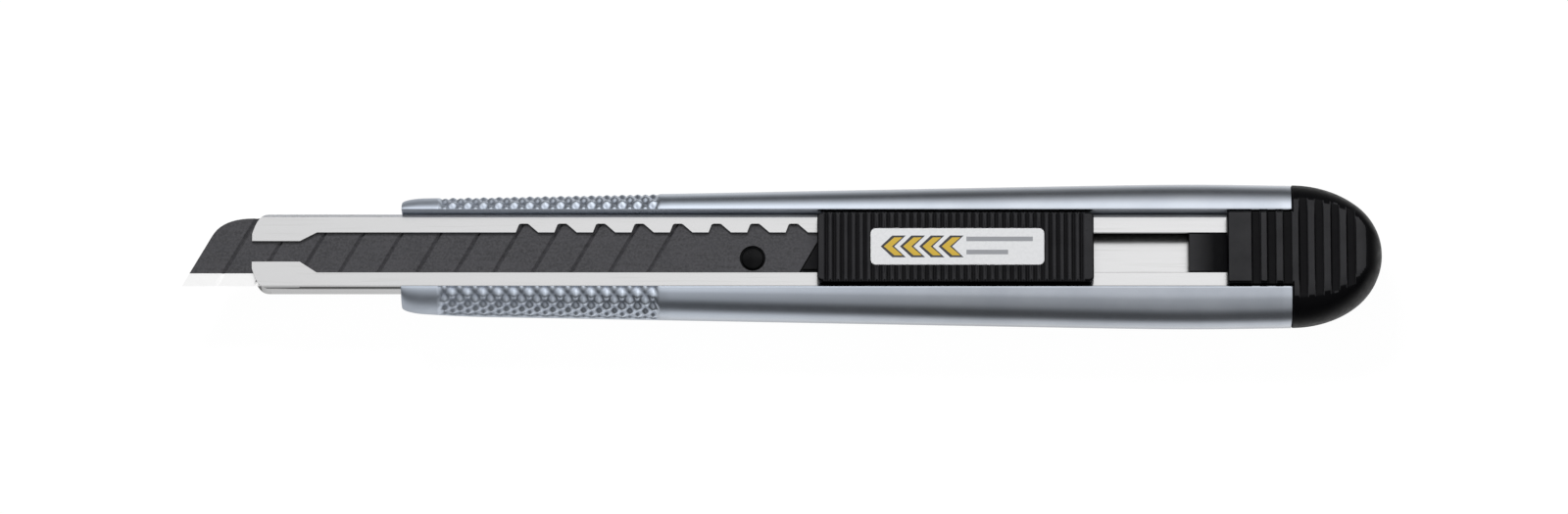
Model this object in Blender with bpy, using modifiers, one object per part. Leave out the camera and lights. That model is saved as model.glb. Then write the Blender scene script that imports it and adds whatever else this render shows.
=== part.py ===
"""Slim utility knife with a snap-off blade.

A die-cast handle holds a folded steel channel. A carriage slides in the channel: it carries the
blade on a stud and the thumb grip above the slot, and its leaf spring clicks into the notches of
one lip. An end cap closes the rear.

Frame: metres, +Z up. The knife lies on its flat back with the thumb grip up. -X points to the
blade's tip, +X to the end cap, and the blade's cutting edge faces -Y. The origin is on the back,
halfway between the tip and the cap's end.
"""

import math

import bmesh
import bpy
from mathutils import Matrix, Vector

MM = 0.001

# Overall layout along X
TIP_X = -77.85 * MM
NOSE_X = -68.8 * MM
HANDLE_FRONT_X = -49.4 * MM
HANDLE_REAR_X = 66.0 * MM
CAP_END_X = 77.85 * MM
CHANNEL_REAR_X = 65.5 * MM

# Gaps between pieces that touch or slide
REST_GAP = 0.1 * MM
SLIDE_GAP = 0.15 * MM

# How far a cutter reaches past what it cuts, and how far joined shapes run into each other
BEYOND = 1.0 * MM
OVERLAP = 0.02 * MM

# Snap-off blade
BLADE_WIDTH = 9.0 * MM
BLADE_THICKNESS = 0.38 * MM
BLADE_TOP_Z = 8.93 * MM
BLADE_BEVEL = 1.65 * MM
BLADE_TAIL_X = 1.1 * MM  # where the tail's slanted end meets the cutting edge
SEGMENT_PITCH = 5.0 * MM
SEGMENT_COUNT = 13
FIRST_SCORE_X = -73.45 * MM  # first score line at the cutting edge
SCORE_WIDTH = 0.2 * MM
SCORE_DEPTH = 0.1 * MM
SCORE_LEAN = math.tan(math.radians(30.0))  # X per Y of a score line, 60 degrees to the edge
STUD_HOLE_RADIUS = 1.6 * MM
STUD_X, STUD_Y = -3.88 * MM, -0.82 * MM
POINT_ROUND_START_Y = 2.2 * MM  # the point's back corner is round from here
POINT_ROUND_END_X = TIP_X + 9.2 * MM  # to here

# Folded steel channel
CHANNEL_WIDTH = 10.0 * MM
CHANNEL_BACK_Z = 6.0 * MM
LIP_TOP_Z = 9.4 * MM
SHEET = 0.4 * MM
BEND_RADIUS = 0.55 * MM
SLOT_HALF = 2.5 * MM  # from the middle to the notched lip
LOWER_SLOT_HALF = 2.8 * MM  # from the middle to the plain lip
NOSE_SLOT_HALF = 1.35 * MM
NOSE_SLOT_END_X = -62.6 * MM
SLOT_START_X = -60.4 * MM
NOSE_CORNER = (  # how far back from the nose and in from the side each point of its corner is
    (0.0, 2.7 * MM),
    (0.15 * MM, 2.25 * MM),
    (0.55 * MM, 1.35 * MM),
    (0.95 * MM, 0.65 * MM),
    (1.3 * MM, 0.28 * MM),
    (1.8 * MM, 0.07 * MM),
    (2.5 * MM, -0.1 * MM),
)
NOTCH_COUNT = 13
FIRST_NOTCH_X = -34.4 * MM
NOTCH_DEPTH = 1.15 * MM
NOTCH_LENGTH = 2.75 * MM

# Die-cast handle
HANDLE_TOP_Z = 11.4 * MM
HANDLE_MAX_HALF_WIDTH = 9.48 * MM
HANDLE_WIDEST_X = 53.0 * MM
HANDLE_TAPER = 0.0212
HANDLE_TAPER_SOFTNESS = 0.15 * MM
WIDEST_Z = 6.6 * MM
TOP_LAND_HALF = 5.5 * MM
BACK_LAND_HALF = 5.0 * MM
BOW_START_X = -38.0 * MM
BOW_RISE = 3.4 * MM
CORNER_LENGTH = 3.0 * MM
CORNER_INSET = 0.75 * MM
POCKET_HALF = CHANNEL_WIDTH / 2 + REST_GAP
LEDGE_Z = CHANNEL_BACK_Z - REST_GAP
CAVITY_HALF = 3.6 * MM
CAVITY_FLOOR_Z = 1.8 * MM

# Diamond knurl on both rails: tips flush with the surface, valleys one depth below it
KNURL_START_X, KNURL_END_X = -44.8 * MM, -15.8 * MM
KNURL_STEP = 1.0 * MM  # half of the pattern's 2 mm pitch
KNURL_DEPTH = 0.4 * MM

# Rivets that hold the channel down
RIVET_X = {"front": -30.0 * MM, "middle": 12.0 * MM, "rear": 54.5 * MM}
RIVET_RADIUS = 0.8 * MM
RIVET_HEAD_RADIUS = 1.6 * MM
RIVET_TIP_Z = 2.9 * MM
BOSS_RADIUS = 2.1 * MM
BOSS_BASE_Z = 1.0 * MM
BOSS_BORE_Z = 2.5 * MM

# Carriage that slides in the channel
CARRIAGE_HALF = CHANNEL_WIDTH / 2 - SHEET - SLIDE_GAP
CARRIAGE_BASE_Z = CHANNEL_BACK_Z + SHEET + SLIDE_GAP
CARRIAGE_TOP_Z = LIP_TOP_Z - SHEET - REST_GAP
CARRIAGE_REAR_X = 38.9 * MM
TONGUE_FRONT_X, TONGUE_ROOT_X = -7.4 * MM, 10.0 * MM
TONGUE_HALF = 2.5 * MM
NECK_HALF = 2.35 * MM
NECK_FRONT_TOP_Z = LIP_TOP_Z - 0.05 * MM
NECK_TOP_Z = 9.95 * MM
TAIL_GAP = 0.25 * MM
COLLAR_THICKNESS = 0.4 * MM  # the stud's and carriage's shoulders round the stud's thin shank

# Thumb grip and its label
GRIP_FRONT_X, GRIP_REAR_X = 4.5 * MM, 40.3 * MM
GRIP_HALF = 4.9 * MM
GRIP_CORNER = 0.7 * MM
GRIP_EDGE = 0.3 * MM
GRIP_WALL = 1.2 * MM
GRIP_BASE_Z = LIP_TOP_Z + REST_GAP
GRIP_TOP_Z = 12.1 * MM
GRIP_RIB_PITCH = 1.0 * MM
GRIP_RIB_COUNT = 34
GRIP_FIRST_GROOVE_X = 5.7 * MM
GRIP_GROOVE_WIDTH = 0.45 * MM
GRIP_GROOVE_DEPTH = 0.35 * MM
LABEL_FRONT_X, LABEL_REAR_X = 11.4 * MM, 33.9 * MM
LABEL_HALF = 2.45 * MM
LABEL_Z = (11.75 * MM, 12.0 * MM)
LABEL_CORNER = 0.7 * MM
PIN_X = {"front": 9.6 * MM, "rear": 36.0 * MM}
PIN_RADIUS = 0.8 * MM
PIN_HEAD_RADIUS = 1.3 * MM
PIN_HEAD_HEIGHT = 0.45 * MM
PIN_TIP_Z = 11.2 * MM

# Leaf spring with the tooth that sits in a notch
TOOTH_NOTCH = 10  # which notch holds the tooth here
SPRING_SHEET = 0.35 * MM
SPRING_Y = 1.7 * MM
SPRING_Z = (9.0 * MM, 9.85 * MM)
SPRING_ANCHOR_X = 30.4 * MM
SPRING_ANCHOR_Y = 0.7 * MM

# End cap
CAP_BASE_Z = 0.1 * MM
CAP_TOP_Z = 12.1 * MM
CAP_HALF_WIDTH = 9.35 * MM
CAP_FLANK = 5.2 * MM
CAP_FLAT_SHARE = 0.72  # share of the dome's length before its top starts to drop
CAP_LEAST_LAND = 0.45  # least share of the half width that is flat on top
BRIDGE_FRONT_X = 57.6 * MM
BRIDGE_HALF = 4.95 * MM
CAP_TONGUE_FRONT_X = 52.7 * MM
PLUG_FRONT_X = 57.0 * MM
CAP_GROOVE_COUNT = 7
CAP_FIRST_GROOVE_X = 61.3 * MM
CAP_GROOVE_PITCH = 2.05 * MM
CAP_GROOVE_WIDTH = 1.15 * MM
CAP_GROOVE_DEPTH = 0.7 * MM
SNAP_SLIT_HALF = 4.9 * MM
SNAP_SLIT_Z = (5.3 * MM, 6.2 * MM)
SNAP_SLIT_FRONT_X = 71.5 * MM


# ---------------------------------------------------------------- scene and materials


def clear_scene():
    for obj in list(bpy.data.objects):
        bpy.data.objects.remove(obj, do_unlink=True)


def make_collection(name):
    made = bpy.data.collections.new(name)
    bpy.context.scene.collection.children.link(made)
    return made


def make_material(name, colour, roughness, metallic=0.0):
    material = bpy.data.materials.new(name)
    material.use_nodes = True
    shader = material.node_tree.nodes["Principled BSDF"]
    shader.inputs["Base Color"].default_value = (*colour, 1.0)
    shader.inputs["Roughness"].default_value = roughness
    shader.inputs["Metallic"].default_value = metallic
    return material


def mesh_object(name, mesh):
    obj = bpy.data.objects.new(name, mesh)
    bpy.context.scene.collection.objects.link(obj)
    return obj


def move_to(obj, collection):
    for old in list(obj.users_collection):
        old.objects.unlink(obj)
    collection.objects.link(obj)


def finish_piece(obj, material, smooth_angle=30.0):
    """Puts a piece in the knife's collection with its material, and shades its round faces smooth."""
    move_to(obj, KNIFE)
    obj.data.materials.clear()
    obj.data.materials.append(material)
    obj.data.shade_smooth()
    obj.data.set_sharp_from_angle(angle=math.radians(smooth_angle))
    return obj


# ---------------------------------------------------------------- basic shapes


def bmesh_object(name, mesh_builder):
    """An object from a function that fills a bmesh."""
    bm = bmesh.new()
    mesh_builder(bm)
    bmesh.ops.recalc_face_normals(bm, faces=bm.faces)
    mesh = bpy.data.meshes.new(name)
    bm.to_mesh(mesh)
    bm.free()
    return mesh_object(name, mesh)


def box(name, low, high):
    low, high = Vector(low), Vector(high)

    def build(bm):
        scale = Matrix.Diagonal((*(high - low), 1.0))
        bmesh.ops.create_cube(bm, size=1.0, matrix=Matrix.Translation((low + high) / 2) @ scale)

    return bmesh_object(name, build)


def cone(name, centre_xy, z_low, z_high, radius_low, radius_high, segments=24):
    """An upright cone or cylinder."""

    def build(bm):
        middle = Matrix.Translation((*centre_xy, (z_low + z_high) / 2))
        bmesh.ops.create_cone(
            bm,
            cap_ends=True,
            segments=segments,
            radius1=radius_low,
            radius2=radius_high,
            depth=z_high - z_low,
            matrix=middle,
        )

    return bmesh_object(name, build)


def turned(name, centre_xy, profile, segments=24):
    """A turned piece: a profile of (radius, z) points, top first, spun about a vertical axis."""
    mesh = bpy.data.meshes.new(name)
    points = [(radius, 0.0, z) for radius, z in profile]
    mesh.from_pydata(points, [(i, i + 1) for i in range(len(points) - 1)], [])
    obj = mesh_object(name, mesh)
    obj.location = (*centre_xy, 0.0)
    screw = obj.modifiers.new("Turn", "SCREW")
    screw.steps = screw.render_steps = segments
    screw.use_merge_vertices = True
    screw.merge_threshold = 1e-6
    return obj


def outline_solid(name, outlines, low, high, along_x=False):
    """Flat outlines extruded from low to high: plan outlines along Z, or (y, z) outlines along X."""
    curve = bpy.data.curves.new(name, "CURVE")
    curve.dimensions = "2D"
    curve.fill_mode = "BOTH"
    curve.extrude = (high - low) / 2
    for outline in outlines:
        spline = curve.splines.new("POLY")
        spline.points.add(len(outline) - 1)
        for point, (u, v) in zip(spline.points, outline):
            point.co = (u, v, 0.0, 1.0)
        spline.use_cyclic_u = True
    guide = mesh_object(name + "_outline", curve)
    middle = (low + high) / 2
    if along_x:
        guide.rotation_euler = (math.radians(90.0), 0.0, math.radians(90.0))
        guide.location = (middle, 0.0, 0.0)
    else:
        guide.location = (0.0, 0.0, middle)
    return mesh_from_curve(name, guide)


def mesh_from_curve(name, guide):
    bpy.context.view_layer.update()
    graph = bpy.context.evaluated_depsgraph_get()
    mesh = bpy.data.meshes.new_from_object(guide.evaluated_get(graph))
    mesh.name = name
    bm = bmesh.new()
    bm.from_mesh(mesh)
    bmesh.ops.remove_doubles(bm, verts=bm.verts, dist=1e-7)
    bmesh.ops.recalc_face_normals(bm, faces=bm.faces)
    bm.to_mesh(mesh)
    bm.free()
    obj = mesh_object(name, mesh)
    obj.matrix_world = guide.matrix_world.copy()
    bpy.data.objects.remove(guide, do_unlink=True)
    return obj


def loft(name, sections):
    """A closed solid through sections with the same number of points, with flat faces at both ends."""

    def build(bm):
        rings = [[bm.verts.new(point) for point in section] for section in sections]
        count = len(rings[0])
        for ring, following in zip(rings, rings[1:]):
            for i in range(count):
                j = (i + 1) % count
                bm.faces.new((ring[i], ring[j], following[j], following[i]))
        bm.faces.new(list(reversed(rings[0])))
        bm.faces.new(rings[-1])

    return bmesh_object(name, build)


def rounded_rectangle(low, high, radius, steps=4):
    """Points of a rectangle with round corners, anticlockwise."""
    (u0, v0), (u1, v1) = low, high
    corners = (
        (u1 - radius, v0 + radius, -90.0),
        (u1 - radius, v1 - radius, 0.0),
        (u0 + radius, v1 - radius, 90.0),
        (u0 + radius, v0 + radius, 180.0),
    )
    points = []
    for u, v, start in corners:
        for i in range(steps + 1):
            angle = math.radians(start + 90.0 * i / steps)
            points.append((u + radius * math.cos(angle), v + radius * math.sin(angle)))
    return points


# ---------------------------------------------------------------- cutting and joining


def add_boolean(target, other, operation):
    modifier = target.modifiers.new(f"{operation.title()} {other.name}", "BOOLEAN")
    modifier.operation = operation
    modifier.solver = "EXACT"
    modifier.object = other
    move_to(other, CUTTERS)
    other.hide_render = True
    other.display_type = "WIRE"
    return target


def cut(target, *cutters):
    for cutter in cutters:
        add_boolean(target, cutter, "DIFFERENCE")
    return target


def join(target, *others):
    for other in others:
        add_boolean(target, other, "UNION")
    return target


def round_edges(obj, width, segments=2, angle=30.0):
    bevel = obj.modifiers.new("Round edges", "BEVEL")
    bevel.width = width
    bevel.segments = segments
    bevel.limit_method = "ANGLE"
    bevel.angle_limit = math.radians(angle)
    return obj


def bars_across(name, first_x, pitch, count, width, half_length, z_low, z_high):
    """A row of bars across the knife, as one cutter."""

    def build(bm):
        for i in range(count):
            middle = Vector((first_x + i * pitch, 0.0, (z_low + z_high) / 2))
            scale = Matrix.Diagonal((width, 2 * half_length, z_high - z_low, 1.0))
            bmesh.ops.create_cube(bm, size=1.0, matrix=Matrix.Translation(middle) @ scale)

    return bmesh_object(name, build)


# ---------------------------------------------------------------- handle


def handle_half_width(x):
    """The plan taper: widest near the rear and almost straight, with a rounded front corner."""
    straight = HANDLE_TAPER * (HANDLE_WIDEST_X - x)
    width = HANDLE_MAX_HALF_WIDTH - (math.hypot(straight, HANDLE_TAPER_SOFTNESS) - HANDLE_TAPER_SOFTNESS)
    into_corner = max(0.0, 1.0 - (x - HANDLE_FRONT_X) / CORNER_LENGTH)
    return width - CORNER_INSET * (1.0 - math.sqrt(1.0 - into_corner**2))


def handle_back_z(x):
    """The back is flat, and curves up like a bow towards the front."""
    along_bow = max(0.0, (BOW_START_X - x) / (BOW_START_X - HANDLE_FRONT_X))
    return BOW_RISE * (1.0 - math.cos(along_bow * math.pi / 2))


def quarter_curve(inner, outer, steps):
    """Points on a quarter ellipse from inner (on a flat land) to outer (the widest point), inner first."""
    (y0, z0), (y1, z1) = inner, outer
    points = []
    for i in range(steps + 1):
        angle = math.pi / 2 * i / steps
        points.append((y0 + (y1 - y0) * math.sin(angle), z1 + (z0 - z1) * math.cos(angle)))
    return points


def half_section(half_width, land_top, land_back, top_z, widest_z, back_z, steps_up=8, steps_down=5):
    """The +Y half of a cross-section as (y, z), from the top land round to the back land."""
    upper = quarter_curve((land_top, top_z), (half_width, widest_z), steps_up)
    lower = quarter_curve((land_back, back_z), (half_width, widest_z), steps_down)
    return upper + list(reversed(lower))[1:]


def whole_section(x, half):
    """A closed ring of points at x from the +Y half and its mirror image."""
    right = [Vector((x, y, z)) for y, z in half]
    left = [Vector((x, -y, z)) for y, z in reversed(half)]
    return right + left


def knurled(half, column, rows=6):
    """Sinks every other point of a rail, staggered by column, so that the rest stand as diamond tips."""
    sunk = list(half)
    for row in range(1, rows + 1):
        if (row + column) % 2:
            y, z = half[row]
            (y0, z0), (y1, z1) = half[row - 1], half[row + 1]
            along = Vector((y1 - y0, z1 - z0)).normalized()
            inward = Vector((along.y, -along.x))
            sunk[row] = (y + inward.x * KNURL_DEPTH, z + inward.y * KNURL_DEPTH)
    return sunk


def handle_stations():
    """X stations of the handle: close together in the corner and the knurl, wide apart elsewhere."""
    corner = [HANDLE_FRONT_X + CORNER_LENGTH * (1.0 - math.cos(math.radians(a))) for a in (0, 25, 45, 65)]
    columns = round((KNURL_END_X - KNURL_START_X) / KNURL_STEP)
    knurl = [KNURL_START_X + KNURL_STEP * i for i in range(columns + 1)]
    plain = [KNURL_END_X + (HANDLE_REAR_X - KNURL_END_X) * i / 14 for i in range(1, 15)]
    return corner, knurl, plain


def handle_half(x):
    return half_section(
        handle_half_width(x), TOP_LAND_HALF, BACK_LAND_HALF, HANDLE_TOP_Z, WIDEST_Z, handle_back_z(x)
    )


def make_handle_shell(material):
    corner, knurl, plain = handle_stations()
    sections = [whole_section(x, handle_half(x)) for x in corner]
    last = len(knurl) - 1
    for column, x in enumerate(knurl):
        half = handle_half(x)
        sections.append(whole_section(x, half if column in (0, last) else knurled(half, column)))
    sections += [whole_section(x, handle_half(x)) for x in plain]
    shell = loft("handle_shell", sections)

    pocket = box(
        "channel_pocket",
        (HANDLE_FRONT_X - BEYOND, -POCKET_HALF, LEDGE_Z),
        (HANDLE_REAR_X + BEYOND, POCKET_HALF, HANDLE_TOP_Z + BEYOND),
    )
    cavity = box(
        "hollow_under_channel",
        (BOW_START_X, -CAVITY_HALF, CAVITY_FLOOR_Z),
        (HANDLE_REAR_X + 2 * BEYOND, CAVITY_HALF, LEDGE_Z + BEYOND),
    )
    cut(shell, pocket, cavity)
    for place, x in RIVET_X.items():
        top_z = LEDGE_Z - REST_GAP / 2
        join(shell, cone(f"{place}_boss", (x, 0.0), BOSS_BASE_Z, top_z, BOSS_RADIUS, BOSS_RADIUS))
    for place, x in RIVET_X.items():
        bore = RIVET_RADIUS + REST_GAP
        cut(shell, cone(f"{place}_boss_bore", (x, 0.0), BOSS_BORE_Z, LEDGE_Z + BEYOND, bore, bore))
    return finish_piece(shell, material)


# ---------------------------------------------------------------- channel and rivets


def notch_outline(x):
    """One notch in the +Y lip, from front to rear: a steep front, a level crest and a sloping rear."""
    crest = SLOT_HALF + NOTCH_DEPTH
    return [
        (x, SLOT_HALF),
        (x + 0.14 * MM, crest - 0.36 * MM),
        (x + 0.25 * MM, crest - 0.11 * MM),
        (x + 0.5 * MM, crest),
        (x + 1.3 * MM, crest),
        (x + 1.55 * MM, crest - 0.11 * MM),
        (x + NOTCH_LENGTH, SLOT_HALF),
    ]


def slot_outline():
    """The open slot between the lips in plan: narrow at the nose, notched along its +Y side."""
    before, after = NOSE_X - BEYOND, CHANNEL_REAR_X + BEYOND
    points = [
        (before, -NOSE_SLOT_HALF),
        (NOSE_SLOT_END_X, -NOSE_SLOT_HALF),
        (SLOT_START_X, -LOWER_SLOT_HALF),
        (after, -LOWER_SLOT_HALF),
        (after, SLOT_HALF),
    ]
    for i in reversed(range(NOTCH_COUNT)):
        points += reversed(notch_outline(FIRST_NOTCH_X + i * SEGMENT_PITCH))
    points += [
        (SLOT_START_X, SLOT_HALF),
        (NOSE_SLOT_END_X, NOSE_SLOT_HALF),
        (before, NOSE_SLOT_HALF),
    ]
    return points


def nose_corner(side):
    """Plan outline of what the nose loses at one corner; side is 1 or -1."""
    half = CHANNEL_WIDTH / 2
    curve = [(NOSE_X + back, half - inwards) for back, inwards in NOSE_CORNER]
    before, outside = NOSE_X - 2 * BEYOND, half + BEYOND
    points = [(before, curve[0][1]), *curve, (curve[-1][0], outside), (before, outside)]
    return [(x, side * y) for x, y in points]


def make_blade_channel(material):
    half = CHANNEL_WIDTH / 2
    outer = rounded_rectangle((-half, CHANNEL_BACK_Z), (half, LIP_TOP_Z), BEND_RADIUS)
    inner = rounded_rectangle(
        (-half + SHEET, CHANNEL_BACK_Z + SHEET), (half - SHEET, LIP_TOP_Z - SHEET), BEND_RADIUS - SHEET
    )
    channel = outline_solid("blade_channel", [outer, inner], NOSE_X, CHANNEL_REAR_X, along_x=True)
    below, above = CHANNEL_BACK_Z - BEYOND, LIP_TOP_Z + BEYOND
    middle = (CHANNEL_BACK_Z + LIP_TOP_Z) / 2
    cut(
        channel,
        outline_solid("slot", [slot_outline()], middle, above),
        outline_solid("nose_corner_upper", [nose_corner(1)], below, above),
        outline_solid("nose_corner_lower", [nose_corner(-1)], below, above),
    )
    for place, x in RIVET_X.items():
        low_z, high_z = CHANNEL_BACK_Z - SHEET / 2, CHANNEL_BACK_Z + 1.5 * SHEET
        wide = RIVET_HEAD_RADIUS + SHEET / 2
        cut(channel, cone(f"{place}_countersink", (x, 0.0), low_z, high_z, RIVET_RADIUS, wide))
    return finish_piece(channel, material)


def make_rivet(place, x, material):
    """A countersunk rivet, its head flush inside the channel's back."""
    head_z = CHANNEL_BACK_Z + SHEET - OVERLAP
    profile = [
        (0.0, head_z),
        (RIVET_HEAD_RADIUS - 0.25 * MM, head_z),
        (RIVET_RADIUS, CHANNEL_BACK_Z),
        (RIVET_RADIUS, RIVET_TIP_Z + 0.3 * MM),
        (RIVET_RADIUS - 0.3 * MM, RIVET_TIP_Z),
        (0.0, RIVET_TIP_Z),
    ]
    return finish_piece(turned(f"channel_rivet_{place}", (x, 0.0), profile), material)


# ---------------------------------------------------------------- blade


def leaning_x(x_at_edge, y):
    """X on a line that leans as the score lines do, from its X at the cutting edge."""
    return x_at_edge + SCORE_LEAN * (y + BLADE_WIDTH / 2)


def front_cut_outline():
    """Plan outline of what lies in front of the blade: the slanted point and its rounded back corner."""
    low_y, high_y, steps = -BLADE_WIDTH / 2 - BEYOND, BLADE_WIDTH / 2 + BEYOND, 8
    bend = Vector((leaning_x(TIP_X, BLADE_WIDTH / 2), BLADE_WIDTH / 2))
    start = Vector((leaning_x(TIP_X, POINT_ROUND_START_Y), POINT_ROUND_START_Y))
    end = Vector((POINT_ROUND_END_X, BLADE_WIDTH / 2 + OVERLAP))
    points = [(leaning_x(TIP_X, low_y), low_y)]
    for i in range(steps + 1):
        t = i / steps
        points.append(tuple(start * (1 - t) ** 2 + bend * 2 * t * (1 - t) + end * t**2))
    return points + [(end.x, high_y), (TIP_X - 2 * BEYOND, high_y), (TIP_X - 2 * BEYOND, low_y)]


def tail_cut_outline():
    low_y, high_y = -BLADE_WIDTH / 2 - BEYOND, BLADE_WIDTH / 2 + BEYOND
    far = BLADE_TAIL_X + 2 * BLADE_WIDTH
    return [
        (leaning_x(BLADE_TAIL_X, low_y), low_y),
        (far, low_y),
        (far, high_y),
        (leaning_x(BLADE_TAIL_X, high_y), high_y),
    ]


def score_cutter():
    """The score lines as one cutter of thin leaning bars over the blade's upper face."""
    lean_angle = math.atan2(1.0, SCORE_LEAN)

    def build(bm):
        for i in range(SEGMENT_COUNT - 1):
            centre_x = leaning_x(FIRST_SCORE_X + i * SEGMENT_PITCH, 0.0)
            middle = Matrix.Translation((centre_x, 0.0, BLADE_TOP_Z - SCORE_DEPTH + BEYOND / 2))
            turn = Matrix.Rotation(lean_angle, 4, "Z")
            scale = Matrix.Diagonal((BLADE_WIDTH * 1.4, SCORE_WIDTH, BEYOND, 1.0))
            bmesh.ops.create_cube(bm, size=1.0, matrix=middle @ turn @ scale)

    return bmesh_object("score_lines", build)


def make_blade(material):
    half = BLADE_WIDTH / 2
    low_z = BLADE_TOP_Z - BLADE_THICKNESS
    edge_half = 0.01 * MM
    middle_z = BLADE_TOP_Z - BLADE_THICKNESS / 2
    profile = [
        (-half, middle_z - edge_half),
        (-half + BLADE_BEVEL, low_z),
        (half, low_z),
        (half, BLADE_TOP_Z),
        (-half + BLADE_BEVEL, BLADE_TOP_Z),
        (-half, middle_z + edge_half),
    ]
    blade = outline_solid("blade", [profile], TIP_X - BEYOND, BLADE_TAIL_X + BLADE_WIDTH, along_x=True)
    below, above = low_z - BEYOND, BLADE_TOP_Z + BEYOND
    cut(
        blade,
        outline_solid("front_of_blade", [front_cut_outline()], below, above),
        outline_solid("behind_blade", [tail_cut_outline()], below, above),
        cone("stud_hole", (STUD_X, STUD_Y), below, above, STUD_HOLE_RADIUS, STUD_HOLE_RADIUS),
        score_cutter(),
    )
    return finish_piece(blade, material)


# ---------------------------------------------------------------- carriage, stud and pins


def carriage_base_outline():
    """Plan outline of the full-width base behind the blade, its front parallel to the blade's tail."""
    front = BLADE_TAIL_X + TAIL_GAP
    return [
        (leaning_x(front, -CARRIAGE_HALF), -CARRIAGE_HALF),
        (CARRIAGE_REAR_X, -CARRIAGE_HALF),
        (CARRIAGE_REAR_X, CARRIAGE_HALF),
        (leaning_x(front, CARRIAGE_HALF), CARRIAGE_HALF),
    ]


def neck_outline():
    front = BLADE_TAIL_X + TAIL_GAP + OVERLAP
    rear = CARRIAGE_REAR_X - 0.3 * MM
    return [
        (leaning_x(front, -NECK_HALF), -NECK_HALF),
        (rear, -NECK_HALF),
        (rear, NECK_HALF),
        (leaning_x(front, NECK_HALF), NECK_HALF),
    ]


def make_blade_carrier(material):
    """Base in the channel, tongue under the blade, neck through the slot and the spring's pocket."""
    carrier = outline_solid("blade_carrier", [carriage_base_outline()], CARRIAGE_BASE_Z, CARRIAGE_TOP_Z)
    tongue_plan = rounded_rectangle(
        (TONGUE_FRONT_X, STUD_Y - TONGUE_HALF), (TONGUE_ROOT_X, STUD_Y + TONGUE_HALF), 2.0 * MM
    )
    tongue_top = BLADE_TOP_Z - BLADE_THICKNESS - REST_GAP
    tongue = outline_solid("tongue", [tongue_plan], CARRIAGE_BASE_Z + OVERLAP, tongue_top)
    neck = outline_solid("neck", [neck_outline()], CARRIAGE_TOP_Z - 0.5 * MM, NECK_FRONT_TOP_Z)
    tall_neck = box(
        "tall_neck",
        (GRIP_FRONT_X + GRIP_WALL + REST_GAP, -NECK_HALF + OVERLAP, CARRIAGE_TOP_Z - 0.4 * MM),
        (CARRIAGE_REAR_X - 0.5 * MM, NECK_HALF - OVERLAP, NECK_TOP_Z),
    )
    join(carrier, tongue, neck, tall_neck)
    tooth_x = FIRST_NOTCH_X + TOOTH_NOTCH * SEGMENT_PITCH
    spring_room = box(
        "spring_room",
        (tooth_x - 0.7 * MM, 0.15 * MM, CARRIAGE_TOP_Z + 0.05 * MM),
        (SPRING_ANCHOR_X - 0.8 * MM, NECK_HALF + BEYOND, NECK_TOP_Z + BEYOND),
    )
    anchor_slot = box(
        "anchor_slot",
        (SPRING_ANCHOR_X - 0.9 * MM, SPRING_ANCHOR_Y - 0.2 * MM, CARRIAGE_TOP_Z + 0.05 * MM),
        (SPRING_ANCHOR_X + 0.2 * MM, NECK_HALF + BEYOND, NECK_TOP_Z + BEYOND + OVERLAP),
    )
    cut(carrier, spring_room, anchor_slot)
    bore = PIN_RADIUS + REST_GAP / 2
    counterbore = PIN_HEAD_RADIUS + REST_GAP
    head_room = CARRIAGE_BASE_Z + PIN_HEAD_HEIGHT + REST_GAP
    below, above = CARRIAGE_BASE_Z - BEYOND, NECK_TOP_Z + BEYOND
    for place, x in PIN_X.items():
        cut(
            carrier,
            cone(f"{place}_pin_bore", (x, 0.0), below, above, bore, bore),
            cone(f"{place}_counterbore", (x, 0.0), below - BEYOND, head_room, counterbore, counterbore),
        )
    stud_bore = STUD_HOLE_RADIUS - SLIDE_GAP - COLLAR_THICKNESS + REST_GAP / 2
    cut(carrier, cone("stud_bore", (STUD_X, STUD_Y), below, BLADE_TOP_Z, stud_bore, stud_bore))
    return finish_piece(carrier, material)


def make_blade_stud(material):
    """A shouldered stud: thin in the tongue, wide and domed through the blade's hole."""
    wide = STUD_HOLE_RADIUS - SLIDE_GAP
    thin = wide - COLLAR_THICKNESS
    shoulder_z = BLADE_TOP_Z - BLADE_THICKNESS - 0.05 * MM
    top_z = BLADE_TOP_Z + 0.25 * MM
    profile = [
        (0.0, top_z),
        (wide * 0.55, top_z - 0.06 * MM),
        (wide * 0.88, top_z - 0.2 * MM),
        (wide, top_z - 0.42 * MM),
        (wide, shoulder_z),
        (thin, shoulder_z),
        (thin, CARRIAGE_BASE_Z + OVERLAP),
        (0.0, CARRIAGE_BASE_Z + OVERLAP),
    ]
    return finish_piece(turned("blade_stud", (STUD_X, STUD_Y), profile), material)


def make_grip_pin(place, x, material):
    """A headed pin pressed up through the carriage into the thumb grip."""
    head_low = CARRIAGE_BASE_Z + 0.05 * MM
    head_top = head_low + PIN_HEAD_HEIGHT
    profile = [
        (0.0, PIN_TIP_Z),
        (PIN_RADIUS - 0.2 * MM, PIN_TIP_Z),
        (PIN_RADIUS, PIN_TIP_Z - 0.2 * MM),
        (PIN_RADIUS, head_top),
        (PIN_HEAD_RADIUS, head_top),
        (PIN_HEAD_RADIUS, head_low),
        (0.0, head_low),
    ]
    return finish_piece(turned(f"grip_pin_{place}", (x, 0.0), profile, segments=16), material)


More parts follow.
